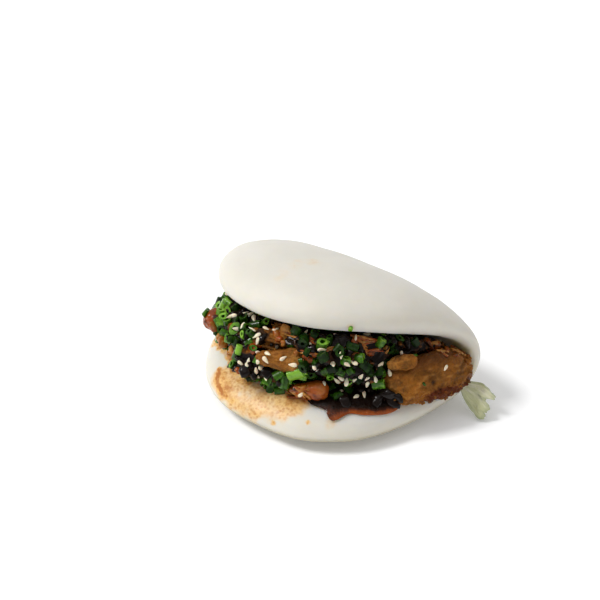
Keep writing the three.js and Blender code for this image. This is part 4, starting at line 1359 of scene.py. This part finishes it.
def shred_material(colors):
    paint = Paint("duck_shred")
    color = ramp(paint.mask("shade") + (paint.mottle(600, 0.3, 0.7) - 0.5) * 0.5, [
        (0, colors.dark_duck), (0.3, colors.glaze), (0.65, colors.duck), (1, colors.pale_duck),
    ])
    return paint.finish(color, paint.grain(1800, 0.00015), Roughness=0.25, Specular_IOR_Level=0.15,
                        Coat_Weight=0.4, Coat_Roughness=0.08,
                        Subsurface_Weight=0.15, Subsurface_Scale=0.001)


# The stage

def add_camera(scene):
    back, right, up = view_axes()
    lens = bpy.data.cameras.new("camera")
    lens.lens = VIEW_LENS
    lens.sensor_width = SENSOR
    lens.clip_start = NEAREST_SHOWN
    camera = bpy.data.objects.new("camera", lens)
    camera.location = VIEW_CENTRE + VIEW_DISTANCE * back
    aim = VIEW_CENTRE + AIM_UP * up - AIM_LEFT * right
    camera.rotation_euler = (camera.location - aim).to_track_quat("Z", "Y").to_euler()
    scene.collection.objects.link(camera)
    scene.camera = camera


def add_floor(settings):
    bm = bmesh.new()
    bmesh.ops.create_grid(bm, x_segments=2, y_segments=2, size=FLOOR_HALF)
    floor = object_from(bm, "floor")
    paint = Paint("floor")
    color = layered(settings.floor, (paint.mottle(12, 0.3, 0.7), FLOOR_DULL))
    floor.data.materials.append(paint.finish(
        color, Roughness=0.9, Specular_IOR_Level=0.1,
        Emission_Color=(1, 1, 1, 1), Emission_Strength=settings.floor_glow))


def add_sky(scene, settings):
    world = bpy.data.worlds.new("studio")
    world.use_nodes = True
    tree = world.node_tree
    around = node(tree, "ShaderNodeTexCoord", {}, "Generated")
    height = node(tree, "ShaderNodeSeparateXYZ", {"Vector": around}, "Z")
    sky = tree.nodes["Background"].inputs
    feed(sky["Color"], (1, 1, 1, 1))
    feed(sky["Strength"], shares(height, SKY_START, SKY_END, settings.low_sky, settings.high_sky))
    scene.world = world


def add_light(scene, name, way, width, strength):
    lamp = bpy.data.lights.new(name, "SUN")
    lamp.angle = width
    lamp.energy = strength
    light = bpy.data.objects.new(name, lamp)
    light.rotation_euler = way.to_track_quat("Z", "Y").to_euler()
    scene.collection.objects.link(light)


# Operators

class DUCKBAO_OT_stage(bpy.types.Operator):
    """Set up the camera, the pale floor and the soft light"""
    bl_idname = "duck_bao.stage"
    bl_label = "Stage"

    def execute(self, context):
        scene = context.scene
        settings = scene.duck_bao.stage
        add_camera(scene)
        add_floor(settings)
        add_sky(scene, settings)
        add_light(scene, "key", from_view(KEY_WAY), settings.key_width, settings.key_strength)
        add_light(scene, "top", Vector((0, 0, 1)), settings.top_width, settings.top_strength)
        scene.view_settings.view_transform = "Standard"
        context.view_layer.update()
        return {"FINISHED"}


class DUCKBAO_OT_bun(bpy.types.Operator):
    """Fold the steamed bun, with the stains on it"""
    bl_idname = "duck_bao.bun"
    bl_label = "Bun"

    def execute(self, context):
        settings = context.scene.duck_bao.bun
        piece(make_bun(settings), dough_material(settings), "bun", "bun")
        return {"FINISHED"}


class DUCKBAO_OT_duck(bpy.types.Operator):
    """Shape the pieces of roast duck"""
    bl_idname = "duck_bao.duck"
    bl_label = "Duck"

    def execute(self, context):
        colors = context.scene.duck_bao.filling
        plain = duck_material("roast_duck", colors, 0)
        glazed = duck_material("glazed_duck", colors, 1)
        for name, (node_name, *_, is_glazed) in DUCK.items():
            material, slot = (glazed, "glazed_duck") if is_glazed else (plain, "duck")
            piece(make_duck(name), material, slot, node_name)
        return {"FINISHED"}


class DUCKBAO_OT_sauce(bpy.types.Operator):
    """Pour the sauce on the lower lobe"""
    bl_idname = "duck_bao.sauce"
    bl_label = "Sauce"

    def execute(self, context):
        settings = context.scene.duck_bao
        piece(make_sauce(settings.bun), sauce_material(settings.filling), "sauce", "sauce_pool")
        return {"FINISHED"}


class DUCKBAO_OT_lettuce(bpy.types.Operator):
    """Lay the bit of lettuce over the rim"""
    bl_idname = "duck_bao.lettuce"
    bl_label = "Lettuce"

    def execute(self, context):
        piece(make_leaf(), leaf_material(context.scene.duck_bao.filling), "lettuce", "lettuce_leaf")
        return {"FINISHED"}


class DUCKBAO_OT_filling(bpy.types.Operator):
    """Pack the mouth with sauced duck, and drop the chives and seeds on it"""
    bl_idname = "duck_bao.filling"
    bl_label = "Filling"

    def execute(self, context):
        settings = context.scene.duck_bao.filling
        piece(make_core(), core_material(settings), "filling", "filling_heap")
        landing = Landing(("filling_core", "bun_dough", "sauce", *DUCK))
        lumps = make_lumps(landing, "sauced_lumps", LUMPS, 5)
        piece(lumps, lump_material(settings), "filling", "filling_heap")
        shreds = shred_material(settings)
        piece(make_lumps(landing, "duck_bits", BITS, 6), shreds, "duck", "filling_heap")
        piece(make_shreds(landing), shreds, "duck", "filling_heap")
        piece(make_chives(settings, landing), chive_material(settings), "filling", "filling_heap")
        piece(make_seeds(settings, landing), seed_material(settings), "filling", "filling_heap")
        return {"FINISHED"}


class DUCKBAO_PT_panel(bpy.types.Panel):
    """The steps that make the bao"""
    bl_idname = "DUCKBAO_PT_panel"
    bl_label = "Duck Bao"
    bl_space_type = "VIEW_3D"
    bl_region_type = "UI"
    bl_category = "Duck Bao"

    def draw(self, context):
        for operator in OPERATORS:
            self.layout.operator(operator.bl_idname)


OPERATORS = (
    DUCKBAO_OT_stage,
    DUCKBAO_OT_bun,
    DUCKBAO_OT_duck,
    DUCKBAO_OT_sauce,
    DUCKBAO_OT_lettuce,
    DUCKBAO_OT_filling,
)
CLASSES = (BunSettings, FillingSettings, StageSettings, BaoSettings, *OPERATORS, DUCKBAO_PT_panel)


def register():
    for each in CLASSES:
        bpy.utils.register_class(each)
    bpy.types.Scene.duck_bao = PointerProperty(type=BaoSettings)


def unregister():
    del bpy.types.Scene.duck_bao
    for each in reversed(CLASSES):
        bpy.utils.unregister_class(each)


def main():
    register()
    bpy.ops.duck_bao.stage()
    bpy.ops.duck_bao.bun()
    bpy.ops.duck_bao.duck()
    bpy.ops.duck_bao.sauce()
    bpy.ops.duck_bao.lettuce()
    bpy.ops.duck_bao.filling()


if __name__ == "__main__":
    main()
